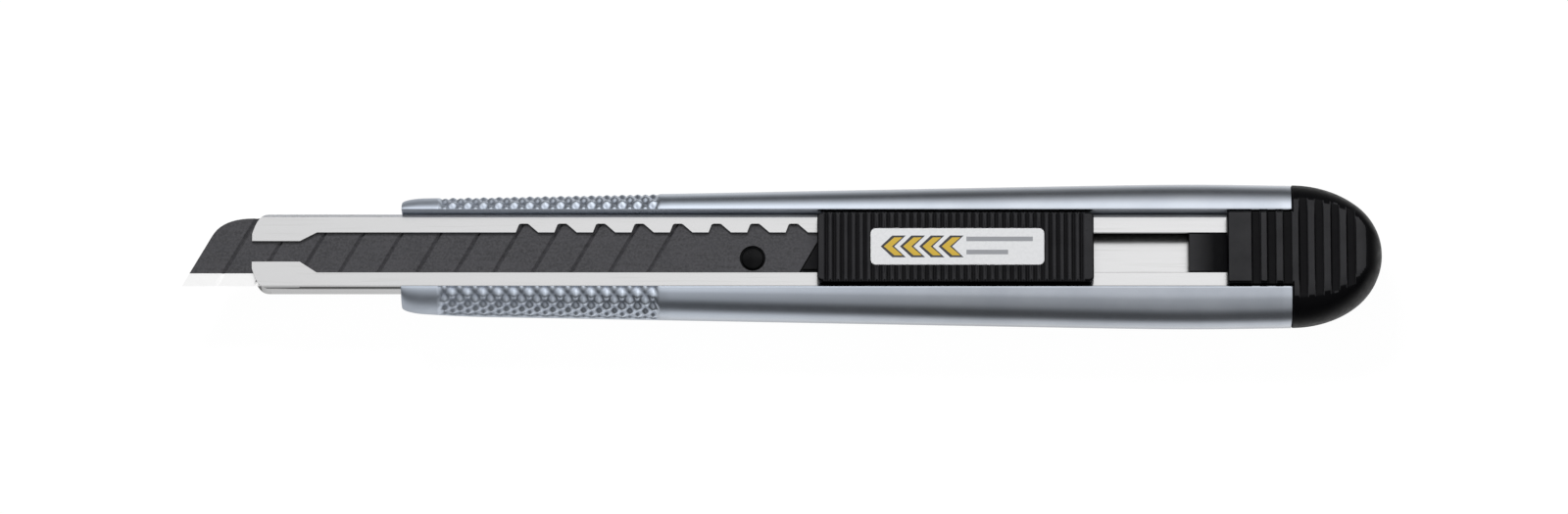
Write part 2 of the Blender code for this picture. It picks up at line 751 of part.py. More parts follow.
def make_lock_spring(material):
    """A leaf spring: hooked in the carriage at its rear, with the locking tooth at its front."""
    x = FIRST_NOTCH_X + TOOTH_NOTCH * SEGMENT_PITCH
    inner, outer = SPRING_Y, SPRING_Y + SPRING_SHEET
    tooth_tip = SLOT_HALF + NOTCH_DEPTH - 0.25 * MM
    rear = SPRING_ANCHOR_X
    arm = [
        (x + 0.45 * MM, inner),
        (rear - SPRING_SHEET, inner),
        (rear - SPRING_SHEET, SPRING_ANCHOR_Y),
        (rear, SPRING_ANCHOR_Y),
        (rear, outer),
        (x + 0.45 * MM, outer),
    ]
    tooth = [
        (x + 0.47 * MM, inner + OVERLAP),
        (x + 2.2 * MM, inner + OVERLAP),
        (x + 2.2 * MM, SLOT_HALF - 0.1 * MM),
        (x + 1.45 * MM, tooth_tip - 0.2 * MM),
        (x + 1.15 * MM, tooth_tip),
        (x + 0.75 * MM, tooth_tip),
        (x + 0.47 * MM, tooth_tip - 0.2 * MM),
    ]
    spring = outline_solid("lock_spring", [arm], *SPRING_Z)
    join(spring, outline_solid("tooth", [tooth], SPRING_Z[0] + OVERLAP, GRIP_BASE_Z - REST_GAP))
    return finish_piece(spring, material)


# ---------------------------------------------------------------- thumb grip and label


def make_slider_grip(material):
    """The ribbed thumb grip, hollow underneath for the neck and drilled for its two pins."""
    plan = rounded_rectangle((GRIP_FRONT_X, -GRIP_HALF), (GRIP_REAR_X, GRIP_HALF), GRIP_CORNER, steps=3)
    grip = outline_solid("slider_grip", [plan], GRIP_BASE_Z, GRIP_TOP_Z)
    round_edges(grip, GRIP_EDGE, segments=2, angle=60.0)
    grooves = bars_across(
        "grip_grooves",
        GRIP_FIRST_GROOVE_X,
        GRIP_RIB_PITCH,
        GRIP_RIB_COUNT,
        GRIP_GROOVE_WIDTH,
        GRIP_HALF + BEYOND,
        GRIP_TOP_Z - GRIP_GROOVE_DEPTH,
        GRIP_TOP_Z + BEYOND,
    )
    seat_plan = rounded_rectangle(
        (LABEL_FRONT_X - REST_GAP, -LABEL_HALF - REST_GAP),
        (LABEL_REAR_X + REST_GAP, LABEL_HALF + REST_GAP),
        LABEL_CORNER,
    )
    label_seat = outline_solid(
        "label_seat", [seat_plan], LABEL_Z[0] - REST_GAP / 2, GRIP_TOP_Z + BEYOND + OVERLAP
    )
    neck_room = box(
        "neck_room",
        (GRIP_FRONT_X + GRIP_WALL, -NECK_HALF - REST_GAP - OVERLAP, GRIP_BASE_Z - BEYOND),
        (CARRIAGE_REAR_X - 0.3 * MM, NECK_HALF + REST_GAP + OVERLAP, NECK_TOP_Z + REST_GAP),
    )
    cut(grip, grooves, label_seat, neck_room)
    bore, bore_top = PIN_RADIUS + REST_GAP / 2, PIN_TIP_Z + REST_GAP
    for place, x in PIN_X.items():
        cut(grip, cone(f"{place}_grip_bore", (x, 0.0), GRIP_BASE_Z, bore_top, bore, bore, segments=16))
    return finish_piece(grip, material)


def make_slider_label(material):
    plate = rounded_rectangle((LABEL_FRONT_X, -LABEL_HALF), (LABEL_REAR_X, LABEL_HALF), LABEL_CORNER)
    return finish_piece(outline_solid("slider_label", [plate], *LABEL_Z), material)


# ---------------------------------------------------------------- end cap


def cap_half(along):
    """Half-section of the dome; along runs from 0 at the handle to 1 at the end."""
    half_width = CAP_HALF_WIDTH * math.sqrt(1.0 - along**2)
    drop = max(0.0, (along - CAP_FLAT_SHARE) / (1.0 - CAP_FLAT_SHARE))
    height_share = math.sqrt(1.0 - drop**2)
    land = max(half_width - CAP_FLANK, CAP_LEAST_LAND * half_width)
    top_z = WIDEST_Z + (CAP_TOP_Z - WIDEST_Z) * height_share
    back_z = WIDEST_Z + (CAP_BASE_Z - WIDEST_Z) * height_share
    return half_section(half_width, land, land, top_z, WIDEST_Z, back_z, steps_up=7, steps_down=6)


def make_end_cap(material):
    """Ribbed dome with a bridge over the channel, a tongue in its slot and a plug in the hollow."""
    front = HANDLE_REAR_X + REST_GAP
    length = CAP_END_X - front
    sections = []
    for i in range(15):
        along = min(math.sin(math.pi / 2 * i / 14), 0.9995)
        x = front + length * (along if i < 14 else 1.0)
        sections.append(whole_section(x, cap_half(along)))
    cap = loft("end_cap", sections)
    inside = front + 2.0 * MM
    bridge_top = CAP_TOP_Z - OVERLAP
    bridge = box("cap_bridge", (BRIDGE_FRONT_X, -BRIDGE_HALF, GRIP_BASE_Z), (inside, BRIDGE_HALF, bridge_top))
    round_edges(bridge, 0.25 * MM, segments=1)
    tongue = box(
        "cap_tongue",
        (CAP_TONGUE_FRONT_X, -LOWER_SLOT_HALF + SLIDE_GAP, CARRIAGE_BASE_Z),
        (inside, SLOT_HALF - SLIDE_GAP, LIP_TOP_Z - OVERLAP),
    )
    web = box(
        "cap_web",
        (BRIDGE_FRONT_X + REST_GAP, -LOWER_SLOT_HALF + SLIDE_GAP + OVERLAP, CARRIAGE_BASE_Z + REST_GAP),
        (inside, SLOT_HALF - SLIDE_GAP - OVERLAP, GRIP_BASE_Z + BEYOND),
    )
    plug = box(
        "cap_plug",
        (PLUG_FRONT_X, -CAVITY_HALF + SLIDE_GAP, CAVITY_FLOOR_Z + SLIDE_GAP),
        (inside, CAVITY_HALF - SLIDE_GAP, LEDGE_Z - SLIDE_GAP),
    )
    round_edges(plug, 0.4 * MM, segments=1)
    join(cap, bridge, tongue, web, plug)
    grooves = bars_across(
        "cap_grooves",
        CAP_FIRST_GROOVE_X,
        CAP_GROOVE_PITCH,
        CAP_GROOVE_COUNT,
        CAP_GROOVE_WIDTH,
        CAP_HALF_WIDTH + BEYOND,
        CAP_TOP_Z - CAP_GROOVE_DEPTH,
        CAP_TOP_Z + BEYOND,
    )
    slit = box(
        "blade_snapping_slit",
        (SNAP_SLIT_FRONT_X, -SNAP_SLIT_HALF, SNAP_SLIT_Z[0]),
        (CAP_END_X + BEYOND, SNAP_SLIT_HALF, SNAP_SLIT_Z[1]),
    )
    cut(cap, grooves, slit)
    return finish_piece(cap, material)


# ---------------------------------------------------------------- the knife


def make_knife():
    cast_aluminium = make_material("cast_aluminium", (0.62, 0.64, 0.67), 0.35, 1.0)
    stainless = make_material("stainless_sheet", (0.78, 0.78, 0.78), 0.22, 1.0)
    rivet_steel = make_material("rivet_steel", (0.6, 0.6, 0.6), 0.3, 1.0)
    black_steel = make_material("black_blade_steel", (0.075, 0.075, 0.085), 0.4, 0.8)
    black_plastic = make_material("black_plastic", (0.02, 0.02, 0.022), 0.45)
    carriage_plastic = make_material("carriage_plastic", (0.015, 0.015, 0.016), 0.35)
    spring_steel = make_material("spring_steel", (0.55, 0.54, 0.52), 0.25, 1.0)
    label_white = make_material("label_white", (0.85, 0.86, 0.88), 0.3)

    make_handle_shell(cast_aluminium)
    make_blade_channel(stainless)
    for place, x in RIVET_X.items():
        make_rivet(place, x, rivet_steel)
    make_blade(black_steel)
    make_blade_carrier(carriage_plastic)
    make_blade_stud(black_steel)
    for place, x in PIN_X.items():
        make_grip_pin(place, x, rivet_steel)
    make_lock_spring(spring_steel)
    make_slider_grip(black_plastic)
    make_slider_label(label_white)
    make_end_cap(black_plastic)


clear_scene()
KNIFE = make_collection("utility_knife")
CUTTERS = make_collection("cutters")
make_knife()
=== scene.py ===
import math

import bmesh
import bpy
import numpy as np
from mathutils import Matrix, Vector
from mathutils.geometry import interpolate_bezier


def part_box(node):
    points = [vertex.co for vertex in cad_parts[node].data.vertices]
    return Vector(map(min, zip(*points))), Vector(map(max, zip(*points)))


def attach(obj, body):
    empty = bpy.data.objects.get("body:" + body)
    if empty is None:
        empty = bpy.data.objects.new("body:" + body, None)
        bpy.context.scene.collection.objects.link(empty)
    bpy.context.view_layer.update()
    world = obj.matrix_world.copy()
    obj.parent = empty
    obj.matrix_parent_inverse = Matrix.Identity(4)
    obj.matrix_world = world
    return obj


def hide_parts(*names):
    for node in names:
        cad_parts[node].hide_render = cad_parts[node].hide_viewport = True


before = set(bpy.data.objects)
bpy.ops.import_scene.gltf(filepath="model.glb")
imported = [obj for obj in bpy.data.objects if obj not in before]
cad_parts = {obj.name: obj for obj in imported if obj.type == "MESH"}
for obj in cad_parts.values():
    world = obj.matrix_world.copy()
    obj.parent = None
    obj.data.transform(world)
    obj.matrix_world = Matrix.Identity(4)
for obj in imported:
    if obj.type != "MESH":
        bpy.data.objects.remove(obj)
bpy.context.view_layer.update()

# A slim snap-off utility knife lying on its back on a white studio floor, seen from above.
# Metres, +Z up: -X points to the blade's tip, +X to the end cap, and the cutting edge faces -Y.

MM = 0.001

# ---------------------------------------------------------------- dimensions, from the frame's boxes

HANDLE_LOW, HANDLE_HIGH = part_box("handle_shell")
CHANNEL_LOW, CHANNEL_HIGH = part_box("blade_channel")
BLADE_LOW, BLADE_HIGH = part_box("blade")
GRIP_LOW, GRIP_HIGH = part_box("slider_grip")
LABEL_LOW, LABEL_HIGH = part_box("slider_label")
STUD_LOW, STUD_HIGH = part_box("blade_stud")
CAP_LOW, CAP_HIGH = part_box("end_cap")

# Handle
HANDLE_WIDEST_X = 53.0 * MM
HANDLE_TAPER = 0.0212
TAPER_SOFTNESS = 0.15 * MM
WIDEST_Z = 6.6 * MM
CROWN_HALF = 5.0 * MM  # where the curve of a rail is level
BACK_LAND_HALF = 5.0 * MM
BOW_START_X = -38.0 * MM
BOW_RISE = 3.4 * MM
CORNER_LENGTH = 3.0 * MM
CORNER_INSET = 0.75 * MM
RAIL_EDGE_RADIUS = 0.18 * MM
END_ROUNDING = {"front": 0.08 * MM, "rear": 0.05 * MM}
POCKET_HALF = CHANNEL_HIGH.y + 0.05 * MM
RAIL_EDGE_STEPS = 5
LEDGE_Z = CHANNEL_LOW.z - 0.1 * MM
LEDGE_STEP = 0.05 * MM
CAVITY_HALF = 3.6 * MM
CAVITY_FLOOR_Z = 1.8 * MM
CAVITY_RAMP = 4.0 * MM

# Diamond knurl: crossed V grooves, tips flush with the rails
KNURL_START_X, KNURL_END_X = -44.8 * MM, -15.8 * MM
KNURL_PITCH = 2.0 * MM
KNURL_COLUMNS, KNURL_ROWS = 16, 20  # grid steps in one diamond, along and across the rail
RAIL_ROWS = 48  # grid rows from a rail's top to its widest line
KNURL_LAST_ROW = RAIL_ROWS + 14
BACK_ROWS = 14  # wider rows, from there to the back land
KNURL_FADE = 7  # grid steps over which the knurl runs out
KNURL_DEPTH = 0.42 * MM
KNURL_DEEPER_SHARE, KNURL_EACH_SHARE = 0.4, 0.3  # what the deeper groove and each groove add to the depth
KNURL_RING_SHIFT = 0.02  # of a column, past the ring where the knurl starts
FRONT_RINGS, FRONT_RING_SPREAD = 14, 1.3  # ahead of the knurl, closest together at the end face
REAR_RINGS = 60
QUARTER_SAMPLES = 400

# Channel
SHEET = 0.4 * MM
BEND_RADIUS = 0.43 * MM
BEND_STRIP = 0.04 * MM  # takes up the change of shading between a lip's flat face and its bend
SLOT_HALF = 2.5 * MM
LOWER_SLOT_HALF = 2.8 * MM
NOSE_SLOT_HALF = 1.35 * MM
NOSE_SLOT_END_X = -62.6 * MM
SLOT_START_X = -60.4 * MM
NOSE_CORNER = ((0.0, 2.7), (0.45, 1.3), (0.9, 0.0), (2.5, 0.0))  # Bezier in mm: back from nose, in from side
NOTCH_COUNT = 13
NOTCH_PITCH = 5.0 * MM
FIRST_NOTCH_X = -34.4 * MM
NOTCH_DEPTH = 1.15 * MM
NOTCH_RADIUS = 0.36 * MM
NOTCH_FOOT, NOTCH_END = -0.2 * MM, 2.7 * MM  # where a notch leaves and meets the lip's edge, from its X
# Centre, first angle and last angle of a notch's two rounded corners
NOTCH_CORNERS = ((0.48 * MM, math.pi * 0.92, math.pi / 2), (1.25 * MM, math.pi / 2, math.pi / 4))
BURR = 0.04 * MM
RIVETS = ("channel_rivet_front", "channel_rivet_middle", "channel_rivet_rear")
RIVET_HOLE_SHARES = (0.55, 1.5)  # of a rivet's radius, just under the sheet and above it

# Blade
BLADE_BEVEL = 1.65 * MM
FIRST_SCORE_X = -73.45 * MM
SEGMENT_COUNT = 13
SEGMENT_PITCH = 5.0 * MM
SCORE_HALF_WIDTH = 0.3 * MM
SCORE_DEPTH = 0.16 * MM
SCORE_LEAN = math.tan(math.radians(30.0))
POINT_ROUND_START_Y = 2.2 * MM
POINT_ROUND_END_X = BLADE_LOW.x + 9.2 * MM
STUD_HOLE_RADIUS = 1.68 * MM

# Thumb grip and label
GRIP_RIB_PITCH = 1.0 * MM
GRIP_RIB_COUNT = 34
GRIP_FIRST_GROOVE_X = GRIP_LOW.x + 1.2 * MM
GRIP_GROOVE_DEPTH = 0.35 * MM
GRIP_DRAFT = 0.28 * MM  # how much narrower each flank is at the top
GRIP_CORNER = 0.7 * MM
GRIP_EDGE = 0.4 * MM
GRIP_FOOT = 0.12 * MM  # chamfer along the underside
GRIP_RIB_RINGS = 12
GRIP_CREST_ROUNDING = 0.08  # of a rib's pitch
GRIP_SLOPE = 0.28  # of a rib's pitch
GRIP_END_DROP = 0.3 * MM
LABEL_CORNER = 0.7 * MM
LABEL_SEAT_GAP = 0.1 * MM
LABEL_SEAT_DEPTH = 0.06 * MM  # below the label
NECK_ROOM_START = 1.2 * MM  # behind the grip's front
NECK_ROOM_HALF = 2.47 * MM
NECK_ROOM_GAP = 0.3 * MM  # short of the carriage's rear end
LABEL_RIM = 0.1 * MM
PRINT_HEIGHT = 0.012 * MM
CHEVRON_COUNT = 4
CHEVRON_START_X = LABEL_LOW.x + 1.3 * MM
CHEVRON_PITCH = 2.5 * MM
CHEVRON_OUTLINE = 0.42 * MM
CHEVRON_EDGE_SHAPE = (1.45 * MM, 1.75 * MM, 1.5 * MM)  # half height, arm and slant
CHEVRON_FILL_SHAPE = (1.2 * MM, 1.05 * MM, 1.35 * MM)
RULES_X = LABEL_LOW.x + 12.4 * MM
RULES = ((1.0 * MM, 8.6 * MM), (-0.75 * MM, 5.4 * MM))  # Y and length
RULE_HALF = 0.3 * MM

# End cap
CAP_FRONT_X = HANDLE_HIGH.x + 0.1 * MM
CAP_FLANK = 5.2 * MM
CAP_FLAT_SHARE = 0.72
BRIDGE_FRONT_X = 57.6 * MM
BRIDGE_HALF = 4.95 * MM
BRIDGE_DRAFT = 0.15 * MM
BRIDGE_EDGE = 0.35 * MM
BRIDGE_SEAM = 0.015 * MM  # keeps the bridge's top just under the dome's where they meet
PLUG_FRONT_X = 57.0 * MM
CAP_GROOVE_COUNT = 7
CAP_FIRST_GROOVE_X = 61.3 * MM
CAP_GROOVE_PITCH = 2.05 * MM
CAP_GROOVE_WIDTH = 1.1 * MM
CAP_GROOVE_DEPTH = 0.65 * MM
CAP_GROOVE_SIDE = (0.12 * MM, 0.2 * MM)  # how far inside the groove's half width a side starts, and its width
CAP_RING_STEP = 0.07 * MM
CAP_GROOVED_LENGTH = 9.9 * MM
CAP_SEAM = 0.15 * MM
CAP_FIT = 0.15 * MM
SNAP_SLIT_HALF = 4.9 * MM
SNAP_SLIT_Z = (5.3 * MM, 6.2 * MM)
SNAP_SLIT_FRONT_X = 71.5 * MM

FLANK_NORMAL_Z = 0.88  # below this, a moulding's face counts as a flank, left dark without the crests' lighter colour
RELIEF_MARGIN = 0.05 * MM


# ---------------------------------------------------------------- mesh helpers


def mesh_object(name, mesh):
    obj = bpy.data.objects.new(name, mesh)
    bpy.context.scene.collection.objects.link(obj)
    return obj


def face_outwards(mesh):
    bm = bmesh.new()
    bm.from_mesh(mesh)
    bmesh.ops.recalc_face_normals(bm, faces=bm.faces)
    bm.to_mesh(mesh)
    bm.free()


def loft(name, rings, flat_ends=True):
    """A closed solid through rings of points; an end that isn't flat is closed by a strip across its ring."""
    count, last = len(rings[0]), len(rings) - 1
    if flat_ends:
        faces = [tuple(reversed(range(count))), tuple(range(last * count, (last + 1) * count))]
    else:
        faces = []
        for start in (0, last * count):
            end = start + count - 1
            faces += [(start + j, start + j + 1, end - j - 1, end - j) for j in range(count // 2 - 1)]
    for start in range(0, last * count, count):
        for j in range(count):
            k = (j + 1) % count
            faces.append((start + j, start + k, start + count + k, start + count + j))
    mesh = bpy.data.meshes.new(name)
    mesh.from_pydata([point for ring in rings for point in ring], [], faces)
    face_outwards(mesh)
    return mesh_object(name, mesh)


def prism(name, outline, low_z, high_z):
    """A plan outline of (x, y) points extruded from low_z to high_z."""
    return loft(name, [[(x, y, z) for x, y in outline] for z in (low_z, high_z)])


def prisms(name, outlines, low_z, high_z):
    """Several plan outlines extruded as one object."""
    made = [prism(name, outline, low_z, high_z) for outline in outlines]
    bm = bmesh.new()
    for obj in made:
        bm.from_mesh(obj.data)
        bpy.data.objects.remove(obj)
    mesh = bpy.data.meshes.new(name)
    bm.to_mesh(mesh)
    bm.free()
    return mesh_object(name, mesh)


def turned(name, centre, profile, segments=48):
    """A turned solid: (radius, z) points from the bottom of the axis to its top, spun round it."""
    rings = []
    turns = [2 * math.pi * i / segments for i in range(segments)]
    for radius, z in profile:
        rings.append([(centre.x + radius * math.cos(a), centre.y + radius * math.sin(a), z) for a in turns])
    return loft(name, rings)


def rectangle(x0, x1, y0, y1, radius=0.0, steps=6):
    """Plan outline of a rectangle, with round corners if it has a radius."""
    if radius == 0.0:
        return [(x0, y0), (x1, y0), (x1, y1), (x0, y1)]
    points = []
    left, right, low, high = x0 + radius, x1 - radius, y0 + radius, y1 - radius
    for turn, (x, y) in enumerate(((right, low), (right, high), (left, high), (left, low))):
        for i in range(steps + 1):
            angle = math.pi / 2 * (turn - 1 + i / steps)
            points.append((x + radius * math.cos(angle), y + radius * math.sin(angle)))
    return points


def combine(obj, other, operation):
    """Cuts other from obj or joins it on, for good, and removes other."""
    modifier = obj.modifiers.new(operation.title(), "BOOLEAN")
    modifier.operation = operation
    modifier.solver = "EXACT"
    modifier.object = other
    apply_modifiers(obj)
    bpy.data.objects.remove(other, do_unlink=True)
    return obj


def apply_modifiers(obj):
    bpy.context.view_layer.update()
    graph = bpy.context.evaluated_depsgraph_get()
    mesh = bpy.data.meshes.new_from_object(obj.evaluated_get(graph), depsgraph=graph)
    obj.modifiers.clear()
    obj.data = mesh
    return obj


def soften_edges(obj, width, segments=2, angle=35.0):
    bevel = obj.modifiers.new("Soft edges", "BEVEL")
    bevel.width = width
    bevel.segments = segments
    bevel.limit_method = "ANGLE"
    bevel.angle_limit = math.radians(angle)
    bevel.harden_normals = False
    return apply_modifiers(obj)


def smooth(obj, angle=32.0):
    """Smooth shading with sharp creases, and flat faces that stay flat."""
    obj.data.shade_smooth()
    obj.data.set_sharp_from_angle(angle=math.radians(angle))
    weighted = obj.modifiers.new("Even shading", "WEIGHTED_NORMAL")
    weighted.keep_sharp = True
    return obj


def place(obj, body, slot, *materials, stands_for=()):
    """Gives a piece its materials and its body, and hides the CAD nodes that it stands for; its slot is not
    used.
    """
    obj.data.materials.clear()
    for material in materials:
        obj.data.materials.append(material)
    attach(obj, body)
    if stands_for:
        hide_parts(*stands_for)
    return obj


def mirrored_ring(half, x):
    """A closed ring at x from the +Y half's (y, z) points, whose ends lie on the middle plane."""
    right = [(x, y, z) for y, z in half]
    left = [(x, -y, z) for y, z in reversed(half[1:-1])]
    return right + left


def mark_relief(obj, ceiling, top_z, depth):
    """Stores how light each point is painted, partly as wear and partly as painted sheen and shade: 1 on
    crests and plain top faces, less in grooves, 0 on flanks.
    """
    wear_and_sheen = []
    for vertex in obj.data.vertices:
        in_groove = vertex.co.z > top_z - depth - RELIEF_MARGIN
        height = 1.0 - 0.6 * min(1.0, (top_z - ceiling(vertex.co.x)) / depth) if in_groove else 1.0
        faces_up = in_groove and height < 1.0 or vertex.normal.z > FLANK_NORMAL_Z
        wear_and_sheen.append(height if faces_up else 0.0)
    obj.data.attributes.new("relief", "FLOAT", "POINT").data.foreach_set("value", wear_and_sheen)


def ease(t):
    """0 below 0, 1 above 1 and a smooth step between."""
    t = min(max(t, 0.0), 1.0)
    return t * t * (3.0 - 2.0 * t)


# ---------------------------------------------------------------- handle


def handle_half_width(x):
    straight = HANDLE_TAPER * (HANDLE_WIDEST_X - x)
    width = HANDLE_HIGH.y - (math.hypot(straight, TAPER_SOFTNESS) - TAPER_SOFTNESS)
    into_corner = max(0.0, 1.0 - (x - HANDLE_LOW.x) / CORNER_LENGTH)
    return width - CORNER_INSET * (1.0 - math.sqrt(max(0.0, 1.0 - into_corner**2)))


def handle_back_z(x):
    along_bow = min(max(0.0, (BOW_START_X - x) / (BOW_START_X - HANDLE_LOW.x)), 1.0)
    return BOW_RISE * (1.0 - math.cos(along_bow * math.pi / 2))


def quarter(inner, outer):
    """A quarter ellipse as arrays y, z and distance, from inner on a flat land to outer, the widest point."""
    (y0, z0), (y1, z1) = inner, outer
    angle = np.linspace(0.0, math.pi / 2, QUARTER_SAMPLES)
    y = y0 + (y1 - y0) * np.sin(angle)
    z = z1 + (z0 - z1) * np.cos(angle)
    return y, z, np.concatenate([[0.0], np.cumsum(np.hypot(np.diff(y), np.diff(z)))])


def points_at(wanted, y, z, along):
    return list(zip(np.interp(wanted, along, y).tolist(), np.interp(wanted, along, z).tolist()))


def even_quarter(inner, outer, steps):
    y, z, along = quarter(inner, outer)
    return points_at(np.linspace(0.0, along[-1], steps + 1), y, z, along)


def flank_points(half_width, back_z):
    """The handle's side from a rail's inner edge to the back land, in even grid rows and then wider ones."""
    upper_y, upper_z, upper = quarter((CROWN_HALF, HANDLE_HIGH.z), (half_width, WIDEST_Z))
    outside_edge = upper_y >= POCKET_HALF + RAIL_EDGE_RADIUS
    upper_y, upper_z, upper = upper_y[outside_edge], upper_z[outside_edge], upper[outside_edge]
    upper -= upper[0]
    lower_y, lower_z, lower = quarter((BACK_LAND_HALF, back_z), (half_width, WIDEST_Z))
    y = np.concatenate([upper_y, lower_y[-2::-1]])
    z = np.concatenate([upper_z, lower_z[-2::-1]])
    along = np.concatenate([upper, upper[-1] + lower[-1] - lower[-2::-1]])
    rows = upper[-1] / RAIL_ROWS * np.arange(KNURL_LAST_ROW + 1)
    rest = np.linspace(rows[-1], along[-1], BACK_ROWS + 1)[1:]
    return points_at(np.concatenate([rows, rest]), y, z, along)


def knurl_sink(x, row):
    """How far a rail's surface lies below its tips, from 0 to 1, at x and at a row of the rail's grid."""
    along, across = (x - KNURL_START_X) / KNURL_PITCH, row / KNURL_ROWS
    inside = min(along * KNURL_COLUMNS, (KNURL_END_X - x) / KNURL_PITCH * KNURL_COLUMNS, KNURL_LAST_ROW - row)
    valleys = []
    for place_on_diagonal in (along + across, along - across):
        valleys.append(0.5 + 0.5 * math.cos(2.0 * math.pi * place_on_diagonal))
    depth = KNURL_DEEPER_SHARE * max(valleys) + KNURL_EACH_SHARE * sum(valleys)
    return depth * ease(inside / KNURL_FADE)


def offset_inwards(points, amounts):
    """Moves each (y, z) point of an open profile to its left by its own amount."""
    moved = []
    for i, (y, z) in enumerate(points):
        before, after = points[max(i - 1, 0)], points[min(i + 1, len(points) - 1)]
        along = Vector((after[0] - before[0], after[1] - before[1]))
        if along.length == 0.0:
            moved.append((y, z))
            continue
        along.normalize()
        moved.append((y - along.y * amounts[i], z + along.x * amounts[i]))
    return moved


def handle_profile(x, rounding):
    """The +Y half of the handle at x as (y, z), and how deep the knurl is at each point."""
    back_z = handle_back_z(x)
    flank = flank_points(handle_half_width(x), back_z)
    crown_y, crown_z = flank[0]
    sinks = [knurl_sink(x, row) for row in range(len(flank))]
    outer = [(BACK_LAND_HALF / 2, back_z)] + flank[::-1]
    depths = [0.0] + sinks[::-1]
    for i in range(1, RAIL_EDGE_STEPS + 1):
        angle = math.pi / 2 * i / RAIL_EDGE_STEPS
        y = POCKET_HALF + (crown_y - POCKET_HALF) * (1.0 - math.sin(angle))
        outer.append((y, crown_z - RAIL_EDGE_RADIUS * (1.0 - math.cos(angle))))
        depths.append(0.0)
    inward = [rounding + KNURL_DEPTH * depth for depth in depths]
    outer = offset_inwards(outer, inward)
    open_share = ease((x - BOW_START_X) / CAVITY_RAMP)
    shallow_z = LEDGE_Z - LEDGE_STEP
    floor_z = shallow_z - (shallow_z - CAVITY_FLOOR_Z) * open_share
    wall_y = POCKET_HALF + rounding
    inner = [(wall_y, LEDGE_Z), (CAVITY_HALF, LEDGE_Z), (CAVITY_HALF, floor_z), (0.0, floor_z)]
    half = [(0.0, back_z + rounding)] + outer + inner
    return half, [0.0] + depths + [0.0] * len(inner)


def handle_stations():
    """X and edge rounding of each ring of the handle."""
    front, rear = HANDLE_LOW.x, HANDLE_HIGH.x
    stations = []
    for i in range(6):
        turn = math.pi / 2 * i / 5
        radius = END_ROUNDING["front"]
        stations.append((front + radius * (1.0 - math.cos(turn)), radius * (1.0 - math.sin(turn))))
    edge = stations[-1][0]
    for i in range(1, FRONT_RINGS + 1):
        stations.append((edge + (KNURL_START_X - edge) * (i / FRONT_RINGS) ** FRONT_RING_SPREAD, 0.0))
    step = KNURL_PITCH / KNURL_COLUMNS
    columns = round((KNURL_END_X - KNURL_START_X) / step)
    stations += [(KNURL_START_X + step * (i + KNURL_RING_SHIFT), 0.0) for i in range(columns)]
    stations.append((KNURL_END_X, 0.0))
    radius = END_ROUNDING["rear"]
    plain = rear - radius - KNURL_END_X
    stations += [(KNURL_END_X + plain * i / REAR_RINGS, 0.0) for i in range(1, REAR_RINGS + 1)]
    for i in range(1, 4):
        turn = math.pi / 2 * i / 3
        stations.append((rear - radius * (1.0 - math.sin(turn)), radius * (1.0 - math.cos(turn))))
    return stations


def make_handle(material):
    rings, depths = [], []
    for x, rounding in handle_stations():
        half, sinks = handle_profile(x, rounding)
        rings.append(mirrored_ring(half, x))
        depths += sinks + sinks[-2:0:-1]
    handle = loft("handle_body", rings)
    relief = handle.data.attributes.new("relief", "FLOAT", "POINT")
    relief.data.foreach_set("value", [1.0 - depth for depth in depths])
    smooth(handle, angle=40.0)
    return place(handle, "handle", "cast_aluminium", material, stands_for=["handle_shell"])


# ---------------------------------------------------------------- channel


def notch_outline(x):
    """One notch of the upper lip as (x, y): a steep side, a rounded crest and a slope."""
    radius, centre_y = NOTCH_RADIUS, SLOT_HALF + NOTCH_DEPTH - NOTCH_RADIUS
    points = [(NOTCH_FOOT, SLOT_HALF)]
    for centre_x, first, last in NOTCH_CORNERS:
        for i in range(6):
            angle = first + (last - first) * i / 5
            points.append((centre_x + radius * math.cos(angle), centre_y + radius * math.sin(angle)))
    points.append((NOTCH_END, SLOT_HALF))
    return [(x + along, y) for along, y in points]


def slot_edge_points():
    """(x, half width) of the slot along its notched side, from the nose to the rear."""
    points = [(CHANNEL_LOW.x, NOSE_SLOT_HALF), (NOSE_SLOT_END_X, NOSE_SLOT_HALF)]
    points += [(SLOT_START_X, SLOT_HALF)]
    for i in range(NOTCH_COUNT):
        points += notch_outline(FIRST_NOTCH_X + i * NOTCH_PITCH)
    points.append((CHANNEL_HIGH.x, SLOT_HALF))
    return points


def channel_half(slot_half):
    """The +Y half of the folded section as (y, z), from the middle of its outer back to its inner one."""
    half, low_z, top_z = CHANNEL_HIGH.y, CHANNEL_LOW.z, CHANNEL_HIGH.z
    points = [(0.0, low_z)]
    points += bend(half, low_z, BEND_RADIUS, -1)
    points += bend(half, top_z, BEND_RADIUS, 1)
    points.append((half - BEND_RADIUS - BEND_STRIP, top_z))
    points += [(slot_half + BURR, top_z), (slot_half, top_z - BURR)]
    points += [(slot_half, top_z - SHEET + BURR / 2), (slot_half + BURR / 2, top_z - SHEET)]
    points += reversed(bend(half - SHEET, top_z - SHEET, BEND_RADIUS - SHEET, 1))
    points += reversed(bend(half - SHEET, low_z + SHEET, BEND_RADIUS - SHEET, -1))
    points.append((0.0, low_z + SHEET))
    return points


def bend(half, z, radius, up, steps=7):
    """Points round one bend of the sheet, going upwards; up is 1 at the lips and -1 at the back."""
    centre_y, centre_z = half - radius, z - up * radius
    points = []
    for i in range(steps + 1):
        angle = math.pi / 2 * (i / steps if up > 0 else i / steps - 1.0)
        points.append((centre_y + radius * math.cos(angle), centre_z + radius * math.sin(angle)))
    return points


